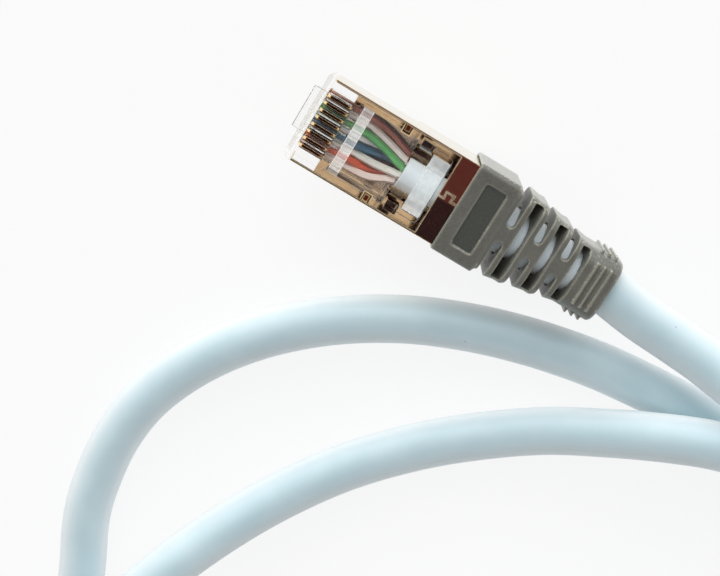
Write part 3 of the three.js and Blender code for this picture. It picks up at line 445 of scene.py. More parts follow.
@dataclass(frozen=True)
class BootVinyl:
    """The boot's grey moulded vinyl: fine mottle, paler edges that are partly wear and partly painted
    highlight, and painted pale glints on its open steep faces.
    """

    name: str = "boot_vinyl"
    dark: Colour = tone(84, 84, 77)
    light: Colour = tone(110, 110, 102)
    # Pale tone of the edges, partly wear and partly painted highlight.
    edge: Colour = tone(186, 182, 158)
    glint: Colour = tone(226, 228, 220)
    grain_size: float = 0.16
    grain_weight: float = 0.7
    patch_size: float = 2.2
    patch_weight: float = 0.45
    mottle_span: Span = (0.33, 0.83)
    ridge_span: Span = (0.508, 0.57)
    ridge_share: Span = (0.35, 0.95)
    steep_span: Span = (0.35, 0.85)
    # Painted glints: pale specks on steep faces, and a pale sheen on faces turned from the eye.
    glint_size: float = 0.3
    glint_span: Span = (0.54, 0.66)
    speck_share: float = 0.6
    painted_sheen_span: Span = (0.3, 0.8)
    painted_sheen_share: Span = (0.1, 0.7)
    open_reach: float = 2.5
    open_span: Span = (0.45, 0.8)
    gloss: Span = (0.24, 0.49)
    ridge_gloss: float = 0.1
    dimple_size: float = 0.4
    dimple_weight: float = 0.5
    relief: float = 0.09
    relief_share: float = 0.9

    def _glints(self, sheet: Sheet, grain: Link) -> Link:
        """How much of the painted glints' colour shows.

        Args:
            sheet: The material's nodes.
            grain: The vinyl's grain.

        Returns:
            The share, which fades inside the slots.
        """
        normal = sheet.node("ShaderNodeSeparateXYZ", None,
                            {"Vector": sheet.given("ShaderNodeNewGeometry", "True Normal")})
        steep = 1 - sheet.value(normal, "Z").ramp(*self.steep_span)
        # Painted highlights: glint specks on steep faces and a sheen where faces turn from the eye, both kept
        # out of the shaded slots.
        specks = sheet.noise(self.glint_size).ramp(*self.glint_span) * steep * self.speck_share
        turned = sheet.turned().ramp(*self.painted_sheen_span) * grain.between(*self.painted_sheen_share)
        shaded = sheet.node("ShaderNodeAmbientOcclusion", {"samples": 4}, {"Distance": self.open_reach * MM})
        return specks.most(turned) * sheet.value(shaded, "AO").ramp(*self.open_span)

    def material(self) -> bpy.types.Material:
        """Makes the material.

        Returns:
            The boot's material.
        """
        sheet = Sheet(self.name)
        grain = sheet.noise(self.grain_size, 3)
        patches = sheet.noise(self.patch_size)
        ridge = sheet.given("ShaderNodeNewGeometry", "Pointiness").ramp(*self.ridge_span)
        mottle = (grain * self.grain_weight + patches * self.patch_weight).ramp(*self.mottle_span)
        body = sheet.colours(mottle, self.dark, self.light)
        # The edges are paler, partly from wear and partly as a painted highlight.
        edged = sheet.colours(ridge * grain.between(*self.ridge_share), body, self.edge)
        height = grain * self.grain_weight + sheet.noise(self.dimple_size, 1) * self.dimple_weight
        return sheet.finished(sheet.surface(
            Base_Color=sheet.colours(self._glints(sheet, grain), edged, self.glint),
            Roughness=grain.between(*self.gloss) - ridge * self.ridge_gloss,
            Normal=sheet.bump(height, self.relief, self.relief_share), Specular_IOR_Level=0.6))


@dataclass(frozen=True)
class LabelVinyl:
    """The coarse dark face of the boot's label recess."""

    name: str = "label_vinyl"
    dark: Colour = tone(48, 51, 47)
    light: Colour = tone(72, 75, 69)
    grain_size: float = 0.12
    grain_span: Span = (0.3, 0.7)
    gloss: Span = (0.5, 0.7)
    relief: float = 0.05
    relief_share: float = 0.8

    def material(self) -> bpy.types.Material:
        """Makes the material.

        Returns:
            The label face's material.
        """
        sheet = Sheet(self.name)
        grain = sheet.noise(self.grain_size, 3)
        return sheet.finished(sheet.surface(
            Base_Color=sheet.colours(grain.ramp(*self.grain_span), self.dark, self.light),
            Roughness=grain.between(*self.gloss), Normal=sheet.bump(grain, self.relief, self.relief_share)))


@dataclass(frozen=True)
class Gilt:
    """Thin gold plating of a stamped blade: gold at both ends, painted near black along its middle for the
    dark that its flat top mirrors, and with painted highlight lines along its edges.
    """

    name: str
    end: End
    colour: Colour = (0.98, 0.74, 0.38, 1)
    # Painted reflection: the near black of the blade's middle.
    shade: Colour = (0.14, 0.10, 0.07, 1)
    # Painted highlight: the pale gold of the edges, less metallic than the plating.
    edge: Colour = (1.0, 0.78, 0.42, 1)
    edge_highlight_width: float = 0.09
    edge_highlight_span: Span = (0.02, 0.25)
    edge_gloss: float = 0.3
    edge_dulling: float = 0.9
    dark_reflection_front: Span = (2.45, 2.57)
    dark_reflection_rear: Span = (4.83, 4.95)
    scratch_size: float = 0.35
    scratch_stretch: Triple = (0.15, 1, 1)
    gloss: Span = (0.1, 0.22)
    dent_size: float = 0.9
    dent_scratches: float = 0.2
    relief: float = 0.012
    relief_share: float = 0.35

    def body(self, sheet: Sheet) -> Link:
        """The plating's colour away from its edges.

        Args:
            sheet: The material's nodes.

        Returns:
            The colour.
        """
        along, _, _ = sheet.in_plug(self.end)
        # Painted reflection: the middle of the blade is painted near black.
        dark = along.ramp(*self.dark_reflection_front) * (1 - along.ramp(*self.dark_reflection_rear))
        return sheet.colours(dark, self.colour, self.shade)

    def material(self) -> bpy.types.Material:
        """Makes the material.

        Returns:
            The plating's material.
        """
        sheet = Sheet(self.end.node(self.name))
        scratches = sheet.noise(self.scratch_size, 2, self.scratch_stretch)
        # Painted highlight lines along every edge.
        edge = sheet.edges(self.edge_highlight_width).ramp(*self.edge_highlight_span)
        dents = sheet.noise(self.dent_size, 1) + scratches * self.dent_scratches
        return sheet.finished(sheet.surface(
            Base_Color=sheet.colours(edge, self.body(sheet), self.edge),
            Metallic=1 - edge * self.edge_dulling,
            Roughness=scratches.between(*self.gloss) + edge * self.edge_gloss,
            Normal=sheet.bump(dents, self.relief, self.relief_share)))


@dataclass(frozen=True)
class FoldedGilt(Gilt):
    """The shield's plating: pale outside, tan inside with painted shade that deepens to near black on the
    floor between its walls, and red-brown on its band with a painted dark reflection over one side.
    """

    pale: Colour = (0.86, 0.82, 0.70, 1)
    wall: Colour = (0.62, 0.41, 0.21, 1)
    # Painted shade: the near-black floor, for the shade between the walls and the dark that the floor
    # mirrors.
    floor: Colour = (0.085, 0.030, 0.014, 1)
    band: Colour = (0.74, 0.62, 0.46, 1)
    # Painted reflection: the near black of the band's one side.
    painted_dark_band: Colour = (0.20, 0.28, 0.26, 1)
    # Painted highlight lines along the shield's edges.
    edge: Colour = (1.0, 0.80, 0.46, 1)
    edge_highlight_width: float = 0.27
    outside: float = 5.82
    top: float = 11.85
    underside: float = 5.33
    step: float = 14.1
    step_drop: float = 2.0
    streak_size: float = 1.6
    streak_stretch: Triple = (0.35, 1, 1)
    streak_sway: float = 1.9
    streak_span: Span = (0.4, 0.75)
    streak_share: float = 0.25
    floor_shade_span: Span = (3.0, 4.7)
    floor_shade_share: float = 0.85
    mottle_size: float = 0.3
    mottle_span: Span = (0.55, 0.75)
    mottle_share: float = 0.5
    painted_dark_side_span: Span = (-0.4, -0.2)

    def body(self, sheet: Sheet) -> Link:
        """The colour of each face by where it lies in the plug.

        Args:
            sheet: The material's nodes.

        Returns:
            The colour.
        """
        along, across, height = sheet.in_plug(self.end)
        streaks = sheet.noise(self.streak_size, 3, self.streak_stretch)
        # Painted shade: the inner floor darkens towards the middle, with streaks.
        middle = 1 - (across.size() + (streaks - 0.5) * self.streak_sway).ramp(*self.floor_shade_span)
        brown = middle * self.floor_shade_share + streaks.ramp(*self.streak_span) * self.streak_share
        inside = sheet.colours(brown.least(1.0), self.wall, self.floor)
        mottle = sheet.noise(self.mottle_size).ramp(*self.mottle_span) * self.mottle_share
        # Painted reflection: one side of the band is darker, broken by mottle.
        painted_dark_side = (1 - across.ramp(*self.painted_dark_side_span)) * (1 - mottle)
        above = sheet.colours(painted_dark_side, self.band, self.painted_dark_band)
        covered = sheet.colours(height.above(self.top), inside, above)
        under = 1 - (height + along.above(self.step) * self.step_drop).above(self.underside)
        return sheet.colours(across.size().above(self.outside).most(under), covered, self.pale)


@dataclass(frozen=True)
class ClearPlastic:
    """Polished clear moulding that bends what is seen through it and lets the light in."""

    name: str
    end: End
    veil: float = 0.0
    least_veil: float = 0.5
    lines_and_veil_shadow: float = 0.5
    lines_and_veil_clearness: float = 0.7
    # Painted edge lines: pale highlight by default, and grey where they stand for shade.
    line: float = 0.7
    painted_edge_line_tone: Colour = (0.95, 0.95, 0.94, 1)
    line_width: float = 0.06
    line_span: Span = (0.05, 0.4)
    nose: Span = (0.0, 0.1)
    nose_clearness: float = 0.85
    painted_nose_line_tone: Colour = tone(190, 190, 188)
    # Painted light: a glow from the edge lines and veil, though the part is no lamp.
    painted_glow: float = 0.0
    tint: Colour = (1.0, 0.995, 0.985, 1)
    body: Colour = (0.99, 0.99, 0.985, 1)
    flow_size: float = 1.4
    flow_span: Span = (0.3, 0.8)
    relief: float = 0.02
    relief_share: float = 0.2

    def material(self) -> bpy.types.Material:
        """Makes the material.

        Returns:
            Glass in most places, plainly clear at the nose and for the light, with painted pale highlight
            lines along its edges (painted grey shade lines at the nose), and a milky veil where one is given.
        """
        sheet = Sheet(self.end.node(self.name))
        rays = sheet.node("ShaderNodeLightPath")
        lighting = sheet.value(rays, "Is Shadow Ray").most(sheet.value(rays, "Is Diffuse Ray"))
        flow = sheet.noise(self.flow_size)
        clear = sheet.node("ShaderNodeBsdfTransparent", None, {"Color": self.tint})
        glass = sheet.surface(Base_Color=self.body, Roughness=0.0, Transmission_Weight=1.0, IOR=1.49,
                              Normal=sheet.bump(flow, self.relief, self.relief_share))
        along, _, _ = sheet.in_plug(self.end)
        front = 1 - along.ramp(*self.nose)
        # Painted edge lines: pale highlight by default and grey shade at the nose; the light mostly passes
        # them.
        painted_lines_and_veil = sheet.surface(Base_Color=sheet.colours(front, self.painted_edge_line_tone, self.painted_nose_line_tone), Roughness=0.3,
                             Emission_Color=grey(1), Emission_Strength=self.painted_glow)
        painted_edge_lines = sheet.edges(self.line_width, 4).ramp(*self.line_span) * self.line
        lines_and_veil = (painted_edge_lines + flow.ramp(*self.flow_span) * self.veil + self.veil * self.least_veil).least(1.0)
        plain = (lighting * (1 - lines_and_veil * self.lines_and_veil_shadow)).most(front * self.nose_clearness)
        moulding = sheet.mixed(plain, glass, clear)
        return sheet.finished(sheet.mixed(lines_and_veil * (1 - lighting * self.lines_and_veil_clearness), moulding, painted_lines_and_veil))


@dataclass(frozen=True)
class GlossySkin:
    """A glossy skin, a little uneven along it: a wire's insulation, or the painted shade plates and the rims
    of the notches.
    """

    name: str
    colour: Colour
    shade: Colour
    streak_size: float = 0.5
    streak_stretch: Triple = (0.3, 1, 1)
    streak_span: Span = (0.3, 0.8)
    gloss: Span = (0.25, 0.4)
    dimple_size: float = 0.4
    relief: float = 0.01
    relief_share: float = 0.4

    def material(self) -> bpy.types.Material:
        """Makes the material.

        Returns:
            The skin's material.
        """
        sheet = Sheet(self.name)
        streak = sheet.noise(self.streak_size, 2, self.streak_stretch)
        dimples = sheet.noise(self.dimple_size, 1)
        return sheet.finished(sheet.surface(
            Base_Color=sheet.colours(streak.ramp(*self.streak_span), self.colour, self.shade),
            Roughness=streak.between(*self.gloss), Normal=sheet.bump(dimples, self.relief, self.relief_share),
            Specular_IOR_Level=0.55))


@dataclass(frozen=True)
class TinnedBraid:
    """The braid's tinned strands, crossing in two directions."""

    name: str = "tinned_braid"
    light: Colour = (0.72, 0.73, 0.75, 1)
    dark: Colour = (0.20, 0.20, 0.21, 1)
    strand_scale: float = 1.1
    waviness: float = 0.4
    relief: float = 0.08

    def _strands(self, sheet: Sheet, lean: float) -> Link:
        """One direction of strands.

        Args:
            sheet: The material's nodes.
            lean: 1 or -1, the way in which they lean.

        Returns:
            How high the strands stand.
        """
        made = sheet.node("ShaderNodeTexWave", {"bands_direction": "DIAGONAL"},
                          {"Vector": sheet.place((1, lean, 1)), "Scale": self.strand_scale,
                           "Distortion": self.waviness})
        return sheet.value(made, 1)

    def material(self) -> bpy.types.Material:
        """Makes the material.

        Returns:
            The braid's material.
        """
        sheet = Sheet(self.name)
        weave = self._strands(sheet, 1).most(self._strands(sheet, -1))
        return sheet.finished(sheet.surface(
            Base_Color=sheet.colours(weave, self.dark, self.light), Metallic=1.0, Roughness=0.35,
            Normal=sheet.bump(weave, self.relief)))


# ---- meshes ----

def mesh_object(name: str, work: bmesh.types.BMesh, smooth: bool = True) -> bpy.types.Object:
    """A new object in the scene that holds a worked mesh.

    Args:
        name: The object's name.
        work: The mesh, which is freed.
        smooth: Whether its faces shade smoothly.

    Returns:
        The object.
    """
    mesh = bpy.data.meshes.new(name)
    for face in work.faces:
        face.smooth = smooth
    work.to_mesh(mesh)
    work.free()
    made = bpy.data.objects.new(name, mesh)
    bpy.context.scene.collection.objects.link(made)
    return made


def dressed(made: bpy.types.Object, material: bpy.types.Material,
            replaced: str | None = None, body: str = "root") -> bpy.types.Object:
    """Gives a piece its material, the slot that it takes its finish from, and the body that carries it.

    Args:
        made: The piece.
        material: Its material.
        replaced: The node that it stands for, if there is one.
        body: The body that it rides on.

    Returns:
        The piece.
    """
    made.data.materials.append(material)
    if replaced:
        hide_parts(replaced)
    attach(made, body)
    points = made.data.splines[0].points if made.type == "CURVE" else made.data.vertices
    LOG.info("%s: %d points", made.name, len(points))
    return made


@dataclass(frozen=True)
class Station:
    """One rectangular section with round corners, standing across a loft, in millimetres."""

    x: float
    half_width: float
    top: float
    bottom: float
    radius: float

    def ring(self, steps: int) -> list[Vector]:
        """The section's points, anticlockwise as seen from the cord.

        Args:
            steps: How many steps each corner has.

        Returns:
            The points.
        """
        points = []
        for corner, (side_y, side_z) in enumerate(((1, 1), (-1, 1), (-1, -1), (1, -1))):
            middle_y = side_y * (self.half_width - self.radius)
            middle_z = self.top - self.radius if side_z > 0 else self.bottom + self.radius
            for step in range(steps + 1):
                angle = (corner + step / steps) * math.pi / 2
                points.append(Vector((self.x, middle_y + self.radius * math.cos(angle),
                                      middle_z + self.radius * math.sin(angle))))
        return points


def lofted(rings: list[list[Vector]]) -> bmesh.types.BMesh:
    """A closed skin through rings of equal size.

    Args:
        rings: The rings in order.

    Returns:
        The skin, capped at both ends.
    """
    work = bmesh.new()
    loops = [[work.verts.new(point) for point in ring] for ring in rings]
    size = len(loops[0])
    for first, second in zip(loops, loops[1:]):
        for k in range(size):
            after = (k + 1) % size
            work.faces.new((first[k], first[after], second[after], second[k]))
    work.faces.new(reversed(loops[0]))
    work.faces.new(loops[-1])
    bmesh.ops.recalc_face_normals(work, faces=work.faces)
    return work


def prism(outline: list[Vector], rise: Vector) -> bmesh.types.BMesh:
    """A flat outline raised along a vector.

    Args:
        outline: The outline's points.
        rise: How far and which way it is raised.

    Returns:
        The closed prism.
    """
    return lofted([outline, [point + rise for point in outline]])


def box(low: Triple, high: Triple) -> bmesh.types.BMesh:
    """A block between two corners.

    Args:
        low: Its lowest corner.
        high: Its highest corner.

    Returns:
        The block.
    """
    outline = [Vector((x, y, low[2])) for x, y in
               ((low[0], low[1]), (high[0], low[1]), (high[0], high[1]), (low[0], high[1]))]
    return prism(outline, Vector((0, 0, high[2] - low[2])))


def rod(x0: float, x1: float, z: float, radius: float, sides: int = 48) -> bmesh.types.BMesh:
    """A round rod along X.

    Args:
        x0: Its front.
        x1: Its rear.
        z: The height of its axis.
        radius: Its radius.
        sides: How many sides it has.

    Returns:
        The rod.
    """
    angles = [2 * math.pi * k / sides for k in range(sides)]
    outline = [Vector((x0, radius * math.cos(a), z + radius * math.sin(a))) for a in angles]
    return prism(outline, Vector((x1 - x0, 0, 0)))


def rounded_outline(x0: float, x1: float, y0: float, y1: float, radius: float, z: float,
                    steps: int = 6) -> list[Vector]:
    """A rectangle with round corners in the XY plane.

    Args:
        x0: Its front.
        x1: Its rear.
        y0: Its low side.
        y1: Its high side.
        radius: The corner radius.
        z: Its height.
        steps: How many steps each corner has.

    Returns:
        The outline's points.
    """
    points = []
    for corner, (x, y) in enumerate(((x1, y1), (x0, y1), (x0, y0), (x1, y0))):
        middle_x = x - radius if x == x1 else x + radius
        middle_y = y - radius if y == y1 else y + radius
        for step in range(steps + 1):
            angle = (corner + step / steps) * math.pi / 2
            x_out, y_out = radius * math.cos(angle), radius * math.sin(angle)
            points.append(Vector((middle_x + x_out, middle_y + y_out, z)))
    return points


@dataclass
class Moulding:
    """A soft-edged moulding: solids joined and cut, then remeshed and smoothed as one skin."""

    name: str
    grain: float = 0.11
    softness: float = 0.5
    passes: int = 4
    adds: list[bmesh.types.BMesh] = field(default_factory=list)
    cuts: list[bmesh.types.BMesh] = field(default_factory=list)

    def skin(self) -> bpy.types.Mesh:
        """Makes the skin, in the millimetres of its solids.

        Returns:
            The remeshed and smoothed mesh.
        """
        solids = self.adds + self.cuts
        helpers = [mesh_object(f"{self.name}_solid_{k}", work) for k, work in enumerate(solids)]
        base = helpers[0]
        for k, helper in enumerate(helpers[1:], 1):
            cut = base.modifiers.new(f"join_{k}", "BOOLEAN")
            cut.operation = "UNION" if k < len(self.adds) else "DIFFERENCE"
            cut.solver = "EXACT"
            cut.object = helper
        remesh = base.modifiers.new("skin", "REMESH")
        remesh.mode = "VOXEL"
        remesh.voxel_size = self.grain
        soften = base.modifiers.new("soften", "SMOOTH")
        soften.factor = self.softness
        soften.iterations = self.passes
        graph = bpy.context.evaluated_depsgraph_get()
        made = bpy.data.meshes.new_from_object(base.evaluated_get(graph), depsgraph=graph)
        for helper in helpers:
            old = helper.data
            bpy.data.objects.remove(helper)
            bpy.data.meshes.remove(old)
        return made


def placed_copy(name: str, skin: bpy.types.Mesh, end: End) -> bpy.types.Object:
    """A copy of a skin at one plug, smooth-shaded.

    Args:
        name: The piece's name.
        skin: The skin in the plug's own millimetres.
        end: The plug that it goes on.

    Returns:
        The new object.
    """
    mesh = skin.copy()
    mesh.name = name
    mesh.transform(PLACE.matrix(end))
    for polygon in mesh.polygons:
        polygon.use_smooth = True
    made = bpy.data.objects.new(name, mesh)
    bpy.context.scene.collection.objects.link(made)
    return made


# ---- camera, floor and light ----

@dataclass(frozen=True)
class Viewpoint:
    """The photograph's viewpoint, in millimetres, with a lens of 75 mm on a 36 mm wide frame."""

    position: Triple = (-22.28, 26.37, 197.49)
    right: Triple = (0.85776, 0.5134, -0.03432)
    down: Triple = (0.50625, -0.83011, 0.23475)
    lens: float = 75.0
    sensor: float = 36.0
    nearest: float = 10.0

    def make(self) -> None:
        """Makes the camera and gives it to the scene."""
        data = bpy.data.cameras.new("viewpoint")
        data.lens = self.lens
        data.sensor_width = self.sensor
        data.clip_start = self.nearest * MM
        camera = bpy.data.objects.new("viewpoint", data)
        right = Vector(self.right).normalized()
        up = -Vector(self.down)
        back = right.cross(up).normalized()
        up = back.cross(right)
        turn = Matrix((right, up, back)).transposed()
        camera.matrix_world = Matrix.Translation(Vector(self.position) * MM) @ turn.to_4x4()
        bpy.context.scene.collection.objects.link(camera)
        bpy.context.scene.camera = camera


@dataclass(frozen=True)
class Studio:
    """A pale floor, one faint lamp, and an even pale surround that is brighter behind the plug.

    The rim light is the surround's brighter part, which lights the object, and the sheen is the one that only
    glossy faces show. They also show a dark ceiling, so that polished metal seen from above is dark.
    """

    floor_size: float = 6.0
    floor_paint: float = 0.9
    floor_glow: float = 0.85
    floor_bounce: float = 0.6
    lamp_size: float = 0.3
    lamp_power: float = 0.3
    lamp_place: Triple = (-0.26, 0.44, 0.34)
    lamp_aim: Triple = (0.02, -0.02, 0.0)
    surround: float = 0.4
    rim_way: Triple = (-0.525, 0.77, 0.36)
    rim_span: Span = (0.5, 1.0)
    rim_light: float = 2.1
    sheen_way: Triple = (-0.51, 0.852, 0.12)
    sheen_span: Span = (0.45, 0.95)
    sheen_light: float = 2.5
    ceiling: Colour = (0.11, 0.026, 0.026, 1)
    ceiling_span: Span = (0.84, 0.93)

    def make(self) -> None:
        """Makes the floor, the lamp and the world."""
        self._floor()
        self._lamp()
        self._world()

    def _floor(self) -> None:
        """A wide pale table, white to the camera, that keeps the cable's shadow."""
        half = self.floor_size / 2
        work = bmesh.new()
        corners = ((-half, -half), (half, -half), (half, half), (-half, half))
        work.faces.new([work.verts.new((x, y, 0)) for x, y in corners])
        floor = mesh_object("floor", work, smooth=False)
        sheet = Sheet("pale_table")
        rays = sheet.node("ShaderNodeLightPath")
        seen = sheet.value(rays, "Is Camera Ray").most(sheet.value(rays, "Is Glossy Ray"))
        paper = sheet.surface(Base_Color=grey(self.floor_paint), Roughness=0.9, Specular_IOR_Level=0.1)
        glow = sheet.node("ShaderNodeEmission", None, {"Color": grey(1.0), "Strength": 1.0})
        share = seen.between(self.floor_bounce, self.floor_glow)
        floor.data.materials.append(sheet.finished(sheet.mixed(share, paper, glow)))

    def _lamp(self) -> None:
        """The faint wide lamp."""
        data = bpy.data.lights.new("wide_lamp", "AREA")
        data.shape = "SQUARE"
        data.size = self.lamp_size
        data.energy = self.lamp_power
        lamp = bpy.data.objects.new("wide_lamp", data)
        place = Vector(self.lamp_place)
        aim = Vector(self.lamp_aim) - place
        lamp.matrix_world = Matrix.Translation(place) @ aim.to_track_quat("-Z", "Y").to_matrix().to_4x4()
        bpy.context.scene.collection.objects.link(lamp)

    def _world(self) -> None:
        """The surround, white to the camera and through clear plastic."""
        sheet = Sheet("studio", Owner.WORLD)
        rays = sheet.node("ShaderNodeLightPath")
        camera = sheet.value(rays, "Is Camera Ray")
        glossy = sheet.value(rays, "Is Glossy Ray")
        clear = sheet.value(rays, "Is Transmission Ray")
        way = sheet.given("ShaderNodeTexCoord", "Generated")
        height = sheet.value(sheet.node("ShaderNodeSeparateXYZ", None, {0: way}), "Z")
        rim = sheet.dot(way, self.rim_way).ramp(*self.rim_span, Course.SMOOTH)
        sheen = sheet.dot(way, self.sheen_way).ramp(*self.sheen_span, Course.SMOOTH)
        even = sheet.node("ShaderNodeBackground", None, {
            "Color": grey(1.0), "Strength": rim.between(self.surround, self.surround + self.rim_light)})
        mirror = sheet.node("ShaderNodeBackground", None, {
            "Color": sheet.colours(height.ramp(*self.ceiling_span), grey(1.0), self.ceiling),
            "Strength": sheen.between(1.0, 1.0 + self.sheen_light)})
        white = sheet.node("ShaderNodeBackground", None, {"Color": grey(1.0)})
        through = sheet.mixed(clear, even, white)
        lit = sheet.mixed((glossy - clear).most(0.0), through, mirror)
        bpy.context.scene.world = sheet.finished(sheet.mixed(camera, lit, white))


# ---- the cord ----

@dataclass
class Cord:
    """The free cord: one smooth line from the near boot through the coil and the loops to the far boot."""

    diameter: float = 6.5
    first: Triple = (21.6, 0.0, 7.6)
    rest_height: float = 3.3
    face_gap: float = 0.3
    inside: float = 1.1
    ease: float = 8.0
    coil_centre: tuple[float, float] = (67.0, -81.0)
    coil_radius: float = 41.0
    coil_turn_gap: float = 0.5
    coil_turns: float = 10 / 3
    climb_turns: float = 0.5
    steps_per_turn: int = 24
    length: float = 1.4989
    point_gap: float = 1.5
    tiny: float = 1e-4
    round_steps: int = 10
    unevenness: float = 0.012
    uneven_points: int = 25
    seed: int = 7
    lead_route: tuple[Triple, ...] = (
        (28.7, -0.7, 7.7), (33.4, -0.9, 8.1), (38.7, -1.1, 9.2), (43, -1.5, 10.8), (49, -1.6, 14),
        (56, -2, 16.3), (63, -3.2, 16.8), (70, -5.6, 15.5), (76.5, -10, 13.1), (82.5, -16.5, 10.9),
        (88.5, -23.7, 9.2), (94.9, -32, 7), (100.6, -40.8, 5), (104.8, -49.8, 3.9), (107.3, -58.6, 3.5),
    )
    run_route: tuple[Triple, ...] = (
        (25, -104, 8.7), (14.2, -98.4, 6.2), (4.2, -93.3, 4.3), (-4, -88.2, 3.6), (-10.2, -82.4, 3.4),
        (-14.4, -76.6, 3.4), (-16.9, -71.3, 3.3), (-19.7, -65, 3.3), (-20.9, -60.1, 3.3),
        (-21.6, -53.1, 3.3), (-20.7, -45.6, 3.3), (-17.3, -37.4, 3.3), (-12.1, -30.1, 3.3),
        (-5, -23.4, 3.3), (2.9, -18.2, 3.3), (10.5, -14.7, 3.3), (18.4, -12.1, 3.3), (26.9, -10.2, 3.3),
        (33.9, -9.3, 3.3), (47, -8.6, 3.3), (60, -10, 3.3), (73, -12.9, 3.3), (86, -17.8, 3.3),
        (98, -25.4, 3.3), (107.2, -35.2, 3.3), (113.8, -47, 3.3), (117.3, -61.5, 3.3), (117.8, -77.5, 3.3),
        (114.8, -95, 3.3), (107, -110.6, 3.3), (95.2, -123, 3.3), (80, -131, 3.3), (63.5, -133.8, 3.3),
        (46, -132.6, 3.3), (29.5, -127.4, 3.4), (15.2, -118.6, 4), (4.2, -108.9, 6), (-3.6, -99.6, 8.6),
        (-8.4, -90.8, 10.3), (-10.4, -82, 10.6), (-9.6, -73, 10.3), (-6.9, -64.3, 9.1), (-3.1, -56.3, 6.6),
        (1.6, -48.1, 4.8), (7.7, -39.5, 3.7), (15.4, -31.2, 3.4), (22.8, -24.8, 3.7), (28, -20.6, 4.9),
        (33.2, -16.9, 6.9), (38.5, -13.4, 9), (44.6, -10.2, 10.4), (50.2, -8.2, 10.7), (56, -5.6, 9.9),
        (62.5, -3.5, 7.6), (68.2, -2.3, 5.6),
    )

    def coil_point(self, turn: float) -> Vector:
        """A point of the coil: in on the surface, up a layer in a half turn, and out again.

        Args:
            turn: How many turns it is from the coil's start.

        Returns:
            The point.
        """
        pitch = self.diameter + self.coil_turn_gap
        middle = self.coil_turns / 2
        radius = self.coil_radius - pitch * (middle - abs(turn - middle))
        climb = min(1.0, max(0.0, (turn - middle) / self.climb_turns + 0.5))
        angle = -turn * 2 * math.pi
        middle_x, middle_y = self.coil_centre
        return Vector((middle_x + radius * math.cos(angle), middle_y + radius * math.sin(angle),
                       self.rest_height + pitch * climb * climb * (3 - 2 * climb)))

    def line(self) -> list[Vector]:
        """The points that the whole cord passes, in order.

        Returns:
            The points, in millimetres.
        """
        turns = self.coil_turns
        count = round(turns * self.steps_per_turn)
        wound = [self.coil_point(k / count * turns) for k in range(count + 1)]
        start_way = (self.coil_point(0) - self.coil_point(self.tiny)).normalized()
        end_way = (self.coil_point(turns) - self.coil_point(turns - self.tiny)).normalized()
        leaving = [self.diameter + self.ease, self.diameter + self.ease / 2, self.diameter, self.diameter / 2]
        before = [wound[0] + start_way * reach for reach in leaving]
        after = [wound[-1] + end_way * reach for reach in reversed(leaving)]
        start = [Vector(self.first), Vector(self.first) + Vector((4 * self.face_gap, 0, 0))]
        mouth = [PLACE.far_mouth() + PLACE.far_way() * reach
                 for reach in (-self.ease, -self.ease / 2, self.inside)]
        lead, run = map(Vector, self.lead_route), map(Vector, self.run_route)
        return [*start, *lead, *before, *wound, *after, *run, *mouth]

    def smooth(self, points: list[Vector]) -> list[Vector]:
        """A smooth line through points, evenly eased by the square root of their distances.

        Args:
            points: The points that it passes.

        Returns:
            The line's points.
        """
        padded = [2 * points[0] - points[1], *points, 2 * points[-1] - points[-2]]
        made = []
        for p0, p1, p2, p3 in zip(padded, padded[1:], padded[2:], padded[3:]):
            gaps = [max(math.sqrt((b - a).length), self.tiny) for a, b in ((p0, p1), (p1, p2), (p2, p3))]
            out = ((p1 - p0) / gaps[0] - (p2 - p0) / (gaps[0] + gaps[1]) + (p2 - p1) / gaps[1]) * gaps[1]
            into = ((p2 - p1) / gaps[1] - (p3 - p1) / (gaps[1] + gaps[2]) + (p3 - p2) / gaps[2]) * gaps[1]
            count = max(1, round((p2 - p1).length / self.point_gap))
            for k in range(count):
                t = k / count
                bend = -3 * p1 + 3 * p2 - 2 * out - into
                twist = 2 * p1 - 2 * p2 + out + into
                made.append(p1 + out * t + bend * t * t + twist * t ** 3)
        return [*made, points[-1]]

    def make(self, far_pieces: list[str]) -> bpy.types.Object:
        """Args:
            far_pieces: The names of the pieces on its far end; it is not used.

        Returns:
            The cord.
        """
        points = self.smooth(self.line())
        curve = bpy.data.curves.new("cord", "CURVE")
        curve.dimensions = "3D"
        curve.bevel_depth = self.diameter / 2 * MM
        curve.bevel_resolution = self.round_steps
        curve.use_fill_caps = True
        spline = curve.splines.new("POLY")
        spline.points.add(len(points) - 1)
        window = self.uneven_points
        wander = np.random.default_rng(self.seed).normal(0, 1, len(points) + window - 1)
        swell = np.convolve(wander, np.ones(window) / window, "valid")
        for place, point, share in zip(spline.points, points, swell):
            place.co = (*(point * MM), 1)
            place.radius = 1 + self.unevenness * float(share)
        spline.use_smooth = True
        made = bpy.data.objects.new("cord", curve)
        bpy.context.scene.collection.objects.link(made)
        dressed(made, SheathVinyl().material())
        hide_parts("cable_lead", "cable_coil", "cable_run")
        return made


# ---- the boot ----

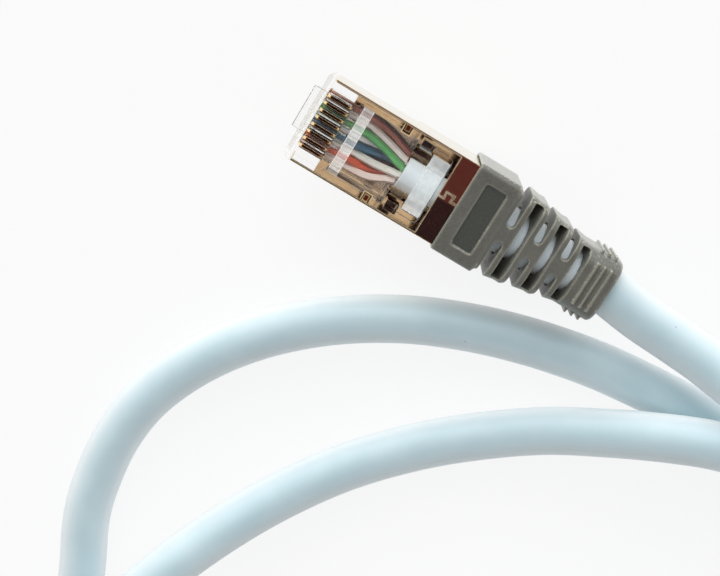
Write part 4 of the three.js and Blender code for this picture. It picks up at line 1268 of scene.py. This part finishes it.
@dataclass
class Boot:
    """The slotted strain relief: a block with a label recess, three waisted fins and a ribbed collar."""

    front: float = 22.8
    length: float = 22.6
    middle: float = 7.6
    half_width: float = 6.34
    half_height: float = 4.8
    block_floor: float = 1.7
    block_length: float = 6.4
    block_corner: float = 0.8
    block_bevel: float = 0.12
    shoulder: float = 0.45
    shoulder_drop: float = 0.3
    first_slot: float = 7.15
    fin_pitch: float = 4.02
    fin_insets: tuple[float, ...] = (0.194, 0.912, 1.688)
    fin_corner: float = 1.8
    fin_waist: float = 0.28
    fin_draw: float = 0.25
    fin_drop: float = 0.15
    edge_slot: float = 1.1
    slot_steps: int = 10
    bridge: float = 2.2
    through_slot: float = 1.45
    through_shift: float = 0.07
    through_lean: float = 0.25
    through_wall: float = 0.45
    through_corner: float = 0.12
    collar_half_width: float = 4.4
    collar_half_height: float = 4.5
    collar_corner: float = 2.4
    collar_bevel: float = 0.35
    rib_count: int = 3
    rib_pitch: float = 0.98
    rib_setback: float = 1.4
    rib_width: float = 0.34
    rib_height: float = 0.38
    rib_sink: float = 0.3
    rib_break: float = 1.3
    guard_half_width: float = 3.275
    guard_profile: tuple[tuple[float, float], ...] = (
        (11.6, 1.1), (12.7, 0), (26.0, 0), (28.4, 1.7), (28.4, 1.9), (23.2, 1.9), (22.8, 3.0), (12.0, 3.0),
        (11.6, 2.6))
    channel_front: float = 9.6
    channel_rear: float = 21.7
    channel_half_width: float = 2.175
    channel_corner: float = 0.55
    recess_depth: float = 0.35
    recess_length: float = 3.0
    recess_half_width: float = 4.44
    recess_centre: float = 3.35
    recess_corner: float = 0.4
    face_border: float = 0.08
    face_corner: float = 0.35
    shield_half_width: float = 5.94
    shield_floor: float = 3.2
    shield_rear: float = 23.9
    barrel_front: float = 23.8
    barrel_rear: float = 28.5
    barrel_bore: float = 4.01
    bore: float = 3.55
    corner_steps: int = 8
    past: float = 1.0
    clear_of_all: float = 12.0
    sharp_degrees: float = 60.0

    def _station(self, along: float, inset: float, drop: float, radius: float, bottom: float) -> Station:
        """One section of the block or of a fin.

        Args:
            along: How far it is from the boot's front.
            inset: How far its sides are in from the block's.
            drop: How far its top is below the block's.
            radius: Its corner radius.
            bottom: Its underside.

        Returns:
            The section.
        """
        top = self.middle + self.half_height
        return Station(self.front + along, self.half_width - inset, top - drop, bottom, radius)

    def _block(self) -> list[Station]:
        """The sections of the block, which is deeper than the fins.

        Returns:
            Five sections from its nose to the first slot.
        """
        corner, drop, bevel = self.block_corner, self.shoulder_drop, self.block_bevel
        steps = ((0, bevel, bevel, corner - bevel), (2 * bevel, 0, 0, corner),
                 (self.block_length - self.shoulder, 0, 0, corner),
                 (self.block_length - drop, drop, drop / 4, corner + drop),
                 (self.block_length, 2 * drop, drop, corner + drop))
        return [self._station(*step, self.block_floor + step[2]) for step in steps]

    def _fins(self) -> list[Station]:
        """The sections of the fins.

        Returns:
            Four sections from each slot to the next, and one behind the last slot.
        """
        half = self.edge_slot / 2
        steps = []
        for fin, inset in enumerate(self.fin_insets):
            slot = self.first_slot + fin * self.fin_pitch
            rear = slot + self.fin_pitch - half
            radius = self.fin_corner + inset / 4
            steps.append((slot + half, inset, self.fin_drop, radius))
            if fin + 1 < len(self.fin_insets):
                drawn = inset + self.fin_draw
                steps += [(slot + self.fin_pitch / 2, inset + self.fin_waist, self.fin_drop, radius),
                          (rear - half, drawn, self.fin_drop, radius),
                          (rear, drawn + self.shoulder_drop, self.shoulder_drop, radius)]
        return [self._station(*step, self.middle - self.half_height + step[2]) for step in steps]

    def _collar(self) -> list[Station]:
        """The sections of the collar.

        Returns:
            Three sections, the last of them inside the bevel.
        """
        start = self.first_slot + (len(self.fin_insets) - 0.5) * self.fin_pitch
        bevel = self.collar_bevel
        return [Station(self.front + along, self.collar_half_width - inset,
                        self.middle + self.collar_half_height - inset,
                        self.middle - self.collar_half_height + inset, self.collar_corner - inset)
                for along, inset in ((start, 0), (self.length - bevel, 0), (self.length, bevel))]

    def ribs(self) -> list[bmesh.types.BMesh]:
        """The collar's ribs, in four bars each, so that they are broken at the corners.

        Returns:
            The bars.
        """
        bars = []
        half = self.rib_width / 2
        across = self.collar_half_width - self.rib_break
        upright = self.collar_half_height - self.rib_break
        for rib in range(self.rib_count):
            x = self.front + self.length - self.rib_setback - (self.rib_count - 1 - rib) * self.rib_pitch
            for side in (-1, 1):
                y0, y1 = self._rib_reach(self.collar_half_width, side)
                z0, z1 = self._rib_reach(self.collar_half_height, side)
                bars.append(box((x - half, y0, self.middle - upright), (x + half, y1, self.middle + upright)))
                bars.append(box((x - half, -across, self.middle + z0), (x + half, across, self.middle + z1)))
        return bars

    def _rib_reach(self, skin: float, side: int) -> list[float]:
        """From where to where a rib's bar reaches through the skin, in rising order."""
        return sorted((side * (skin - self.rib_sink), side * (skin + self.rib_height)))

    def guard(self) -> bmesh.types.BMesh:
        """The two ears under the plug, as one profile that the latch's channel parts."""
        outline = [Vector((x, -self.guard_half_width, z)) for x, z in self.guard_profile]
        return prism(outline, Vector((0, 2 * self.guard_half_width, 0)))

    def slots(self) -> list[bmesh.types.BMesh]:
        """The slots between the fins, round at their inner ends, and the slots through the fins.

        Returns:
            The cutters.
        """
        tools = []
        half = self.edge_slot / 2
        end = self.bridge / 2 + half
        turns = [math.pi * k / self.slot_steps for k in range(self.slot_steps + 1)]
        rise = Vector((0, 0, self.clear_of_all + 4 * self.past))
        for fin, inset in enumerate(self.fin_insets):
            x = self.front + self.first_slot + fin * self.fin_pitch
            arc = [(x + half * math.cos(turn), end - half * math.sin(turn)) for turn in turns]
            outline = [(x + half, self.clear_of_all), *arc, (x - half, self.clear_of_all)]
            for side in (-1, 1):
                tools.append(prism([Vector((px, side * py, -self.past)) for px, py in outline], rise))
            through = x + self.fin_pitch / 2 + self.through_shift
            waist = max(self.collar_half_width, self.half_width - inset - self.fin_waist)
            tools += [self._through(through, waist - self.through_wall, side) for side in (1, -1)]
        return tools

    def _through(self, centre: float, half: float, side: int) -> bmesh.types.BMesh:
        """Half of a slot through a fin, whose rear wall leans forward towards the cord.

        Args:
            centre: The slot's middle at the skin.
            half: Half of its length across the boot.
            side: 1 for the upper half and -1 for the lower.

        Returns:
            The cutter.
        """
        front, rear = centre - self.through_slot / 2, centre + self.through_slot / 2
        reach = self.half_height + self.past
        deep = rear - self.through_lean * self.half_height
        rings = []
        for rise, end in ((0.0, deep), (reach, deep + self.through_lean * reach)):
            height = self.middle + side * rise
            rings.append(rounded_outline(front, end, -half, half, self.through_corner, height))
        return lofted(rings)

    def _label(self, border: float, corner: float, bottom: float) -> list[Vector]:
        """The label recess's outline.

        Args:
            border: How far it is drawn in.
            corner: Its corner radius.
            bottom: Its height.

        Returns:
            The outline's points.
        """
        start = self.front + self.recess_centre - self.recess_length / 2
        end = start + self.recess_length
        half = self.recess_half_width - border
        return rounded_outline(start + border, end - border, -half, half, corner, bottom)

    def skin(self) -> bpy.types.Mesh:
        """The boot's moulded skin.

        Returns:
            The mesh, in the plug's own millimetres.
        """
        outside = lofted([station.ring(self.corner_steps)
                          for station in (*self._block(), *self._fins(), *self._collar())])
        floor = self.middle + self.half_height - self.recess_depth
        label = prism(self._label(0, self.recess_corner, floor), Vector((0, 0, 2 * self.past)))
        channel = prism(rounded_outline(self.channel_front, self.channel_rear, -self.channel_half_width,
                                        self.channel_half_width, self.channel_corner, -self.past),
                        Vector((0, 0, self.clear_of_all + self.past)))
        shield = box((self.front - self.past, -self.shield_half_width, self.shield_floor),
                     (self.shield_rear, self.shield_half_width, self.clear_of_all))
        barrel = rod(self.barrel_front, self.barrel_rear, self.middle, self.barrel_bore)
        cord = rod(self.barrel_front, self.front + self.length + self.past, self.middle, self.bore)
        return Moulding("boot", adds=[outside, self.guard(), *self.ribs()],
                        cuts=[shield, barrel, cord, label, channel, *self.slots()]).skin()

    def _face(self) -> bpy.types.Mesh:
        """The thin dark face in the label recess.

        Returns:
            The mesh, in the plug's own millimetres.
        """
        floor = self.middle + self.half_height - self.recess_depth
        work = prism(self._label(self.face_border, self.face_corner, floor - self.face_border / 2),
                     Vector((0, 0, self.face_border)))
        face = bpy.data.meshes.new("label_face")
        work.to_mesh(face)
        work.free()
        return face

    def make(self) -> None:
        """Makes both boots, each with the dark face of its label recess."""
        skin = self.skin()
        vinyl = BootVinyl().material()
        dark = LabelVinyl().material()
        work = bmesh.new()
        work.from_mesh(skin)
        moulded = len(work.faces)
        work.from_mesh(self._face())
        work.faces.ensure_lookup_table()
        for polygon in work.faces[moulded:]:
            polygon.material_index = 1
        work.to_mesh(skin)
        work.free()
        for end in End:
            made = placed_copy(end.node("boot_skin"), skin, end)
            dressed(made, vinyl, end.node("boot"))
            made.data.materials.append(dark)
            made.data.set_sharp_from_angle(angle=math.radians(self.sharp_degrees))


# ---- the cord's end in the plug ----

@dataclass
class SheathEnd:
    """The cut end of the sheath that runs through the plug and the boot."""

    front: float = 15.0
    rear: float = 44.0
    radius: float = 3.25
    wall: float = 0.55
    well: float = 1.2
    round_edge: float = 0.12
    axis: float = 7.6
    sides: int = 64
    weld: float = 1e-4
    sharp_degrees: float = 40.0
    # Painted light: the stub is paler than the cord, to make up for the light that the plug and boot keep
    # from it.
    light: Colour = tone(236, 247, 252)
    deep: Colour = tone(226, 240, 248)

    def make(self) -> None:
        """Makes the sheath's end at both plugs."""
        material = SheathVinyl("sheath_end_painted_light_vinyl", self.light, self.deep).material()
        inner = self.radius - self.wall
        profile = [(0.0, self.front + self.well), (inner, self.front + self.well), (inner, self.front),
                   (self.radius - self.round_edge, self.front), (self.radius, self.front + self.round_edge),
                   (self.radius, self.rear), (0.0, self.rear)]
        for end in End:
            work = bmesh.new()
            points = [work.verts.new((x, 0, self.axis + radius)) for radius, x in profile]
            edges = [work.edges.new(pair) for pair in zip(points, points[1:])]
            bmesh.ops.spin(work, geom=points + edges, cent=(0, 0, self.axis), axis=(1, 0, 0),
                           angle=2 * math.pi, steps=self.sides)
            bmesh.ops.remove_doubles(work, verts=work.verts, dist=self.weld)
            bmesh.ops.recalc_face_normals(work, faces=work.faces)
            bmesh.ops.transform(work, matrix=PLACE.matrix(end), verts=work.verts)
            made = mesh_object(end.node("sheath_stub"), work)
            made.data.set_sharp_from_angle(angle=math.radians(self.sharp_degrees))
            dressed(made, material, end.node("sheath_end"))


# ---- the plug's rigid pieces ----

@dataclass
class PlugFinishes:
    """The finishes of the solids that stay as they are."""

    white: Colour = tone(248, 240, 236)
    wires: dict[str, tuple[Colour, Colour]] = field(init=False)

    def __post_init__(self) -> None:
        """Gives each wire its colour and the shade that its streaks have."""
        self.wires = {
            "1_orange_white": (tone(246, 234, 228), tone(240, 216, 206)),
            "2_orange": (tone(216, 86, 34), tone(190, 68, 30)),
            "3_green_white": (self.white, tone(214, 224, 212)),
            "4_blue": (tone(22, 100, 132), tone(14, 74, 104)),
            "5_blue_white": (self.white, tone(212, 222, 230)),
            "6_green": (tone(92, 178, 98), tone(66, 150, 80)),
            "7_brown_white": (self.white, tone(224, 208, 198)),
            "8_brown": (tone(168, 88, 62), tone(136, 66, 44)),
        }

    def make(self) -> None:
        """Gives each kept solid of both plugs its material."""
        braid = TinnedBraid().material()
        skins = {name: GlossySkin(f"wire_skin_{name}", *pair).material() for name, pair in self.wires.items()}
        for end in End:
            for name, material in self._clear(end).items():
                self._give(end.node(name), material)
            self._give(end.node("shield"), FoldedGilt("gilt_shield", end).material())
            self._give(end.node("braid"), braid)
            contact = Gilt("gilt_contact", end).material()
            for name, material in skins.items():
                self._give(end.node(f"wire_{name}"), material)
                self._give(end.node(f"contact_{name[0]}"), contact)

    @staticmethod
    def _clear(end: End) -> dict[str, bpy.types.Material]:
        """The clear finishes of one plug.

        Args:
            end: The plug.

        Returns:
            A material for each clear piece.
        """
        finishes = {
            "housing": ClearPlastic("clear_housing", end, nose=(2.1, 2.2)),
            # The latch's edge lines are painted grey shade.
            "latch": ClearPlastic("clear_latch", end, painted_edge_line_tone=tone(190, 190, 188), line_width=0.14),
            # The load and strain bars glow with painted light.
            "load_bar": ClearPlastic("clear_load_bar", end, veil=0.2, line=1.0, line_width=0.16, painted_glow=0.6),
            "strain_bar": ClearPlastic("clear_strain_bar", end, veil=0.4, line=1.0, line_width=0.12,
                                       painted_edge_line_tone=tone(228, 236, 238), painted_glow=0.18),
        }
        return {name: finish.material() for name, finish in finishes.items()}

    @staticmethod
    def _give(node: str, material: bpy.types.Material) -> None:
        """Gives a node a material.

        Args:
            node: The node's name.
            material: Its material.
        """
        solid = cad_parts[node]
        solid.data.materials.clear()
        solid.data.materials.append(material)
        LOG.info("%s: %s", node, material.name)


@dataclass
class NotchShadeAndRims:
    """Dark plates of painted shade at the bottoms of the near plug's notches and side pockets, and the
    notches' gilt rims.

    The far plug goes without them.
    """

    notch: Span = (12.15, 13.25)
    notch_across: Span = (4.45, 5.48)
    notch_floor: float = 10.52
    pocket: Span = (15.15, 16.75)
    pocket_across: Span = (3.9, 5.0)
    pocket_floor: float = 7.7
    thickness: float = 0.3
    rim: float = 0.1
    rim_level: float = 11.62
    rim_rise: float = 0.08
    # Painted shade: near-black plates where the notches and pockets show only shade.
    dark: GlossySkin = GlossySkin("notch_painted_shade", tone(58, 28, 18), tone(30, 16, 12))
    gilt: GlossySkin = GlossySkin("notch_gilt", tone(240, 214, 164), tone(214, 180, 120))

    @staticmethod
    def _pair(work: bmesh.types.BMesh, along: Span, across: Span, bottom: float, rise: float) -> None:
        """Adds a bar on either side of the plug.

        Args:
            work: The mesh that it is added to.
            along: From where to where it runs along the plug.
            across: From where to where it runs out from the plug's middle.
            bottom: Its underside.
            rise: Its thickness.
        """
        for side in (-1, 1):
            y0, y1 = sorted(side * reach for reach in across)
            bar = box((along[0], y0, bottom), (along[1], y1, bottom + rise))
            mesh = bpy.data.meshes.new("bar")
            bar.to_mesh(mesh)
            bar.free()
            work.from_mesh(mesh)
            bpy.data.meshes.remove(mesh)

    def make(self) -> None:
        """Makes the painted shade plates and the rims."""
        shade_plates, rims = bmesh.new(), bmesh.new()
        self._pair(shade_plates, self.notch, self.notch_across, self.notch_floor, self.thickness)
        self._pair(shade_plates, self.pocket, self.pocket_across, self.pocket_floor, self.thickness)
        inner, outer = self.notch_across
        for along, across in (((self.notch[0] - self.rim, self.notch[0]), (inner - self.rim, outer)),
                              ((self.notch[1], self.notch[1] + self.rim), (inner - self.rim, outer)),
                              (self.notch, (inner - self.rim, inner))):
            self._pair(rims, along, across, self.rim_level, self.rim_rise)
        for name, work, finish in (("notch_lining", shade_plates, self.dark), ("notch_rim", rims, self.gilt)):
            bmesh.ops.transform(work, matrix=PLACE.matrix(End.NEAR), verts=work.verts)
            dressed(mesh_object(End.NEAR.node(name), work, smooth=False), finish.material())


# ---- the whole cable ----

def far_pieces() -> list[str]:
    """The names of the far plug's pieces.

    Returns:
        The far plug's nodes, with the names of the pieces that stand for two of them.
    """
    swapped = {End.FAR.node("boot"): End.FAR.node("boot_skin"),
               End.FAR.node("sheath_end"): End.FAR.node("sheath_stub")}
    return [swapped.get(name, name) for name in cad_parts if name.startswith(End.FAR.value)]


def main() -> None:
    """Builds the scene in order."""
    logging.basicConfig(level=logging.INFO, format="%(message)s")
    Viewpoint().make()
    Boot().make()
    SheathEnd().make()
    PlugFinishes().make()
    NotchShadeAndRims().make()
    Cord().make(far_pieces())
    Studio().make()
    bpy.context.scene.view_settings.view_transform = "Standard"


if __name__ == "__main__":
    main()
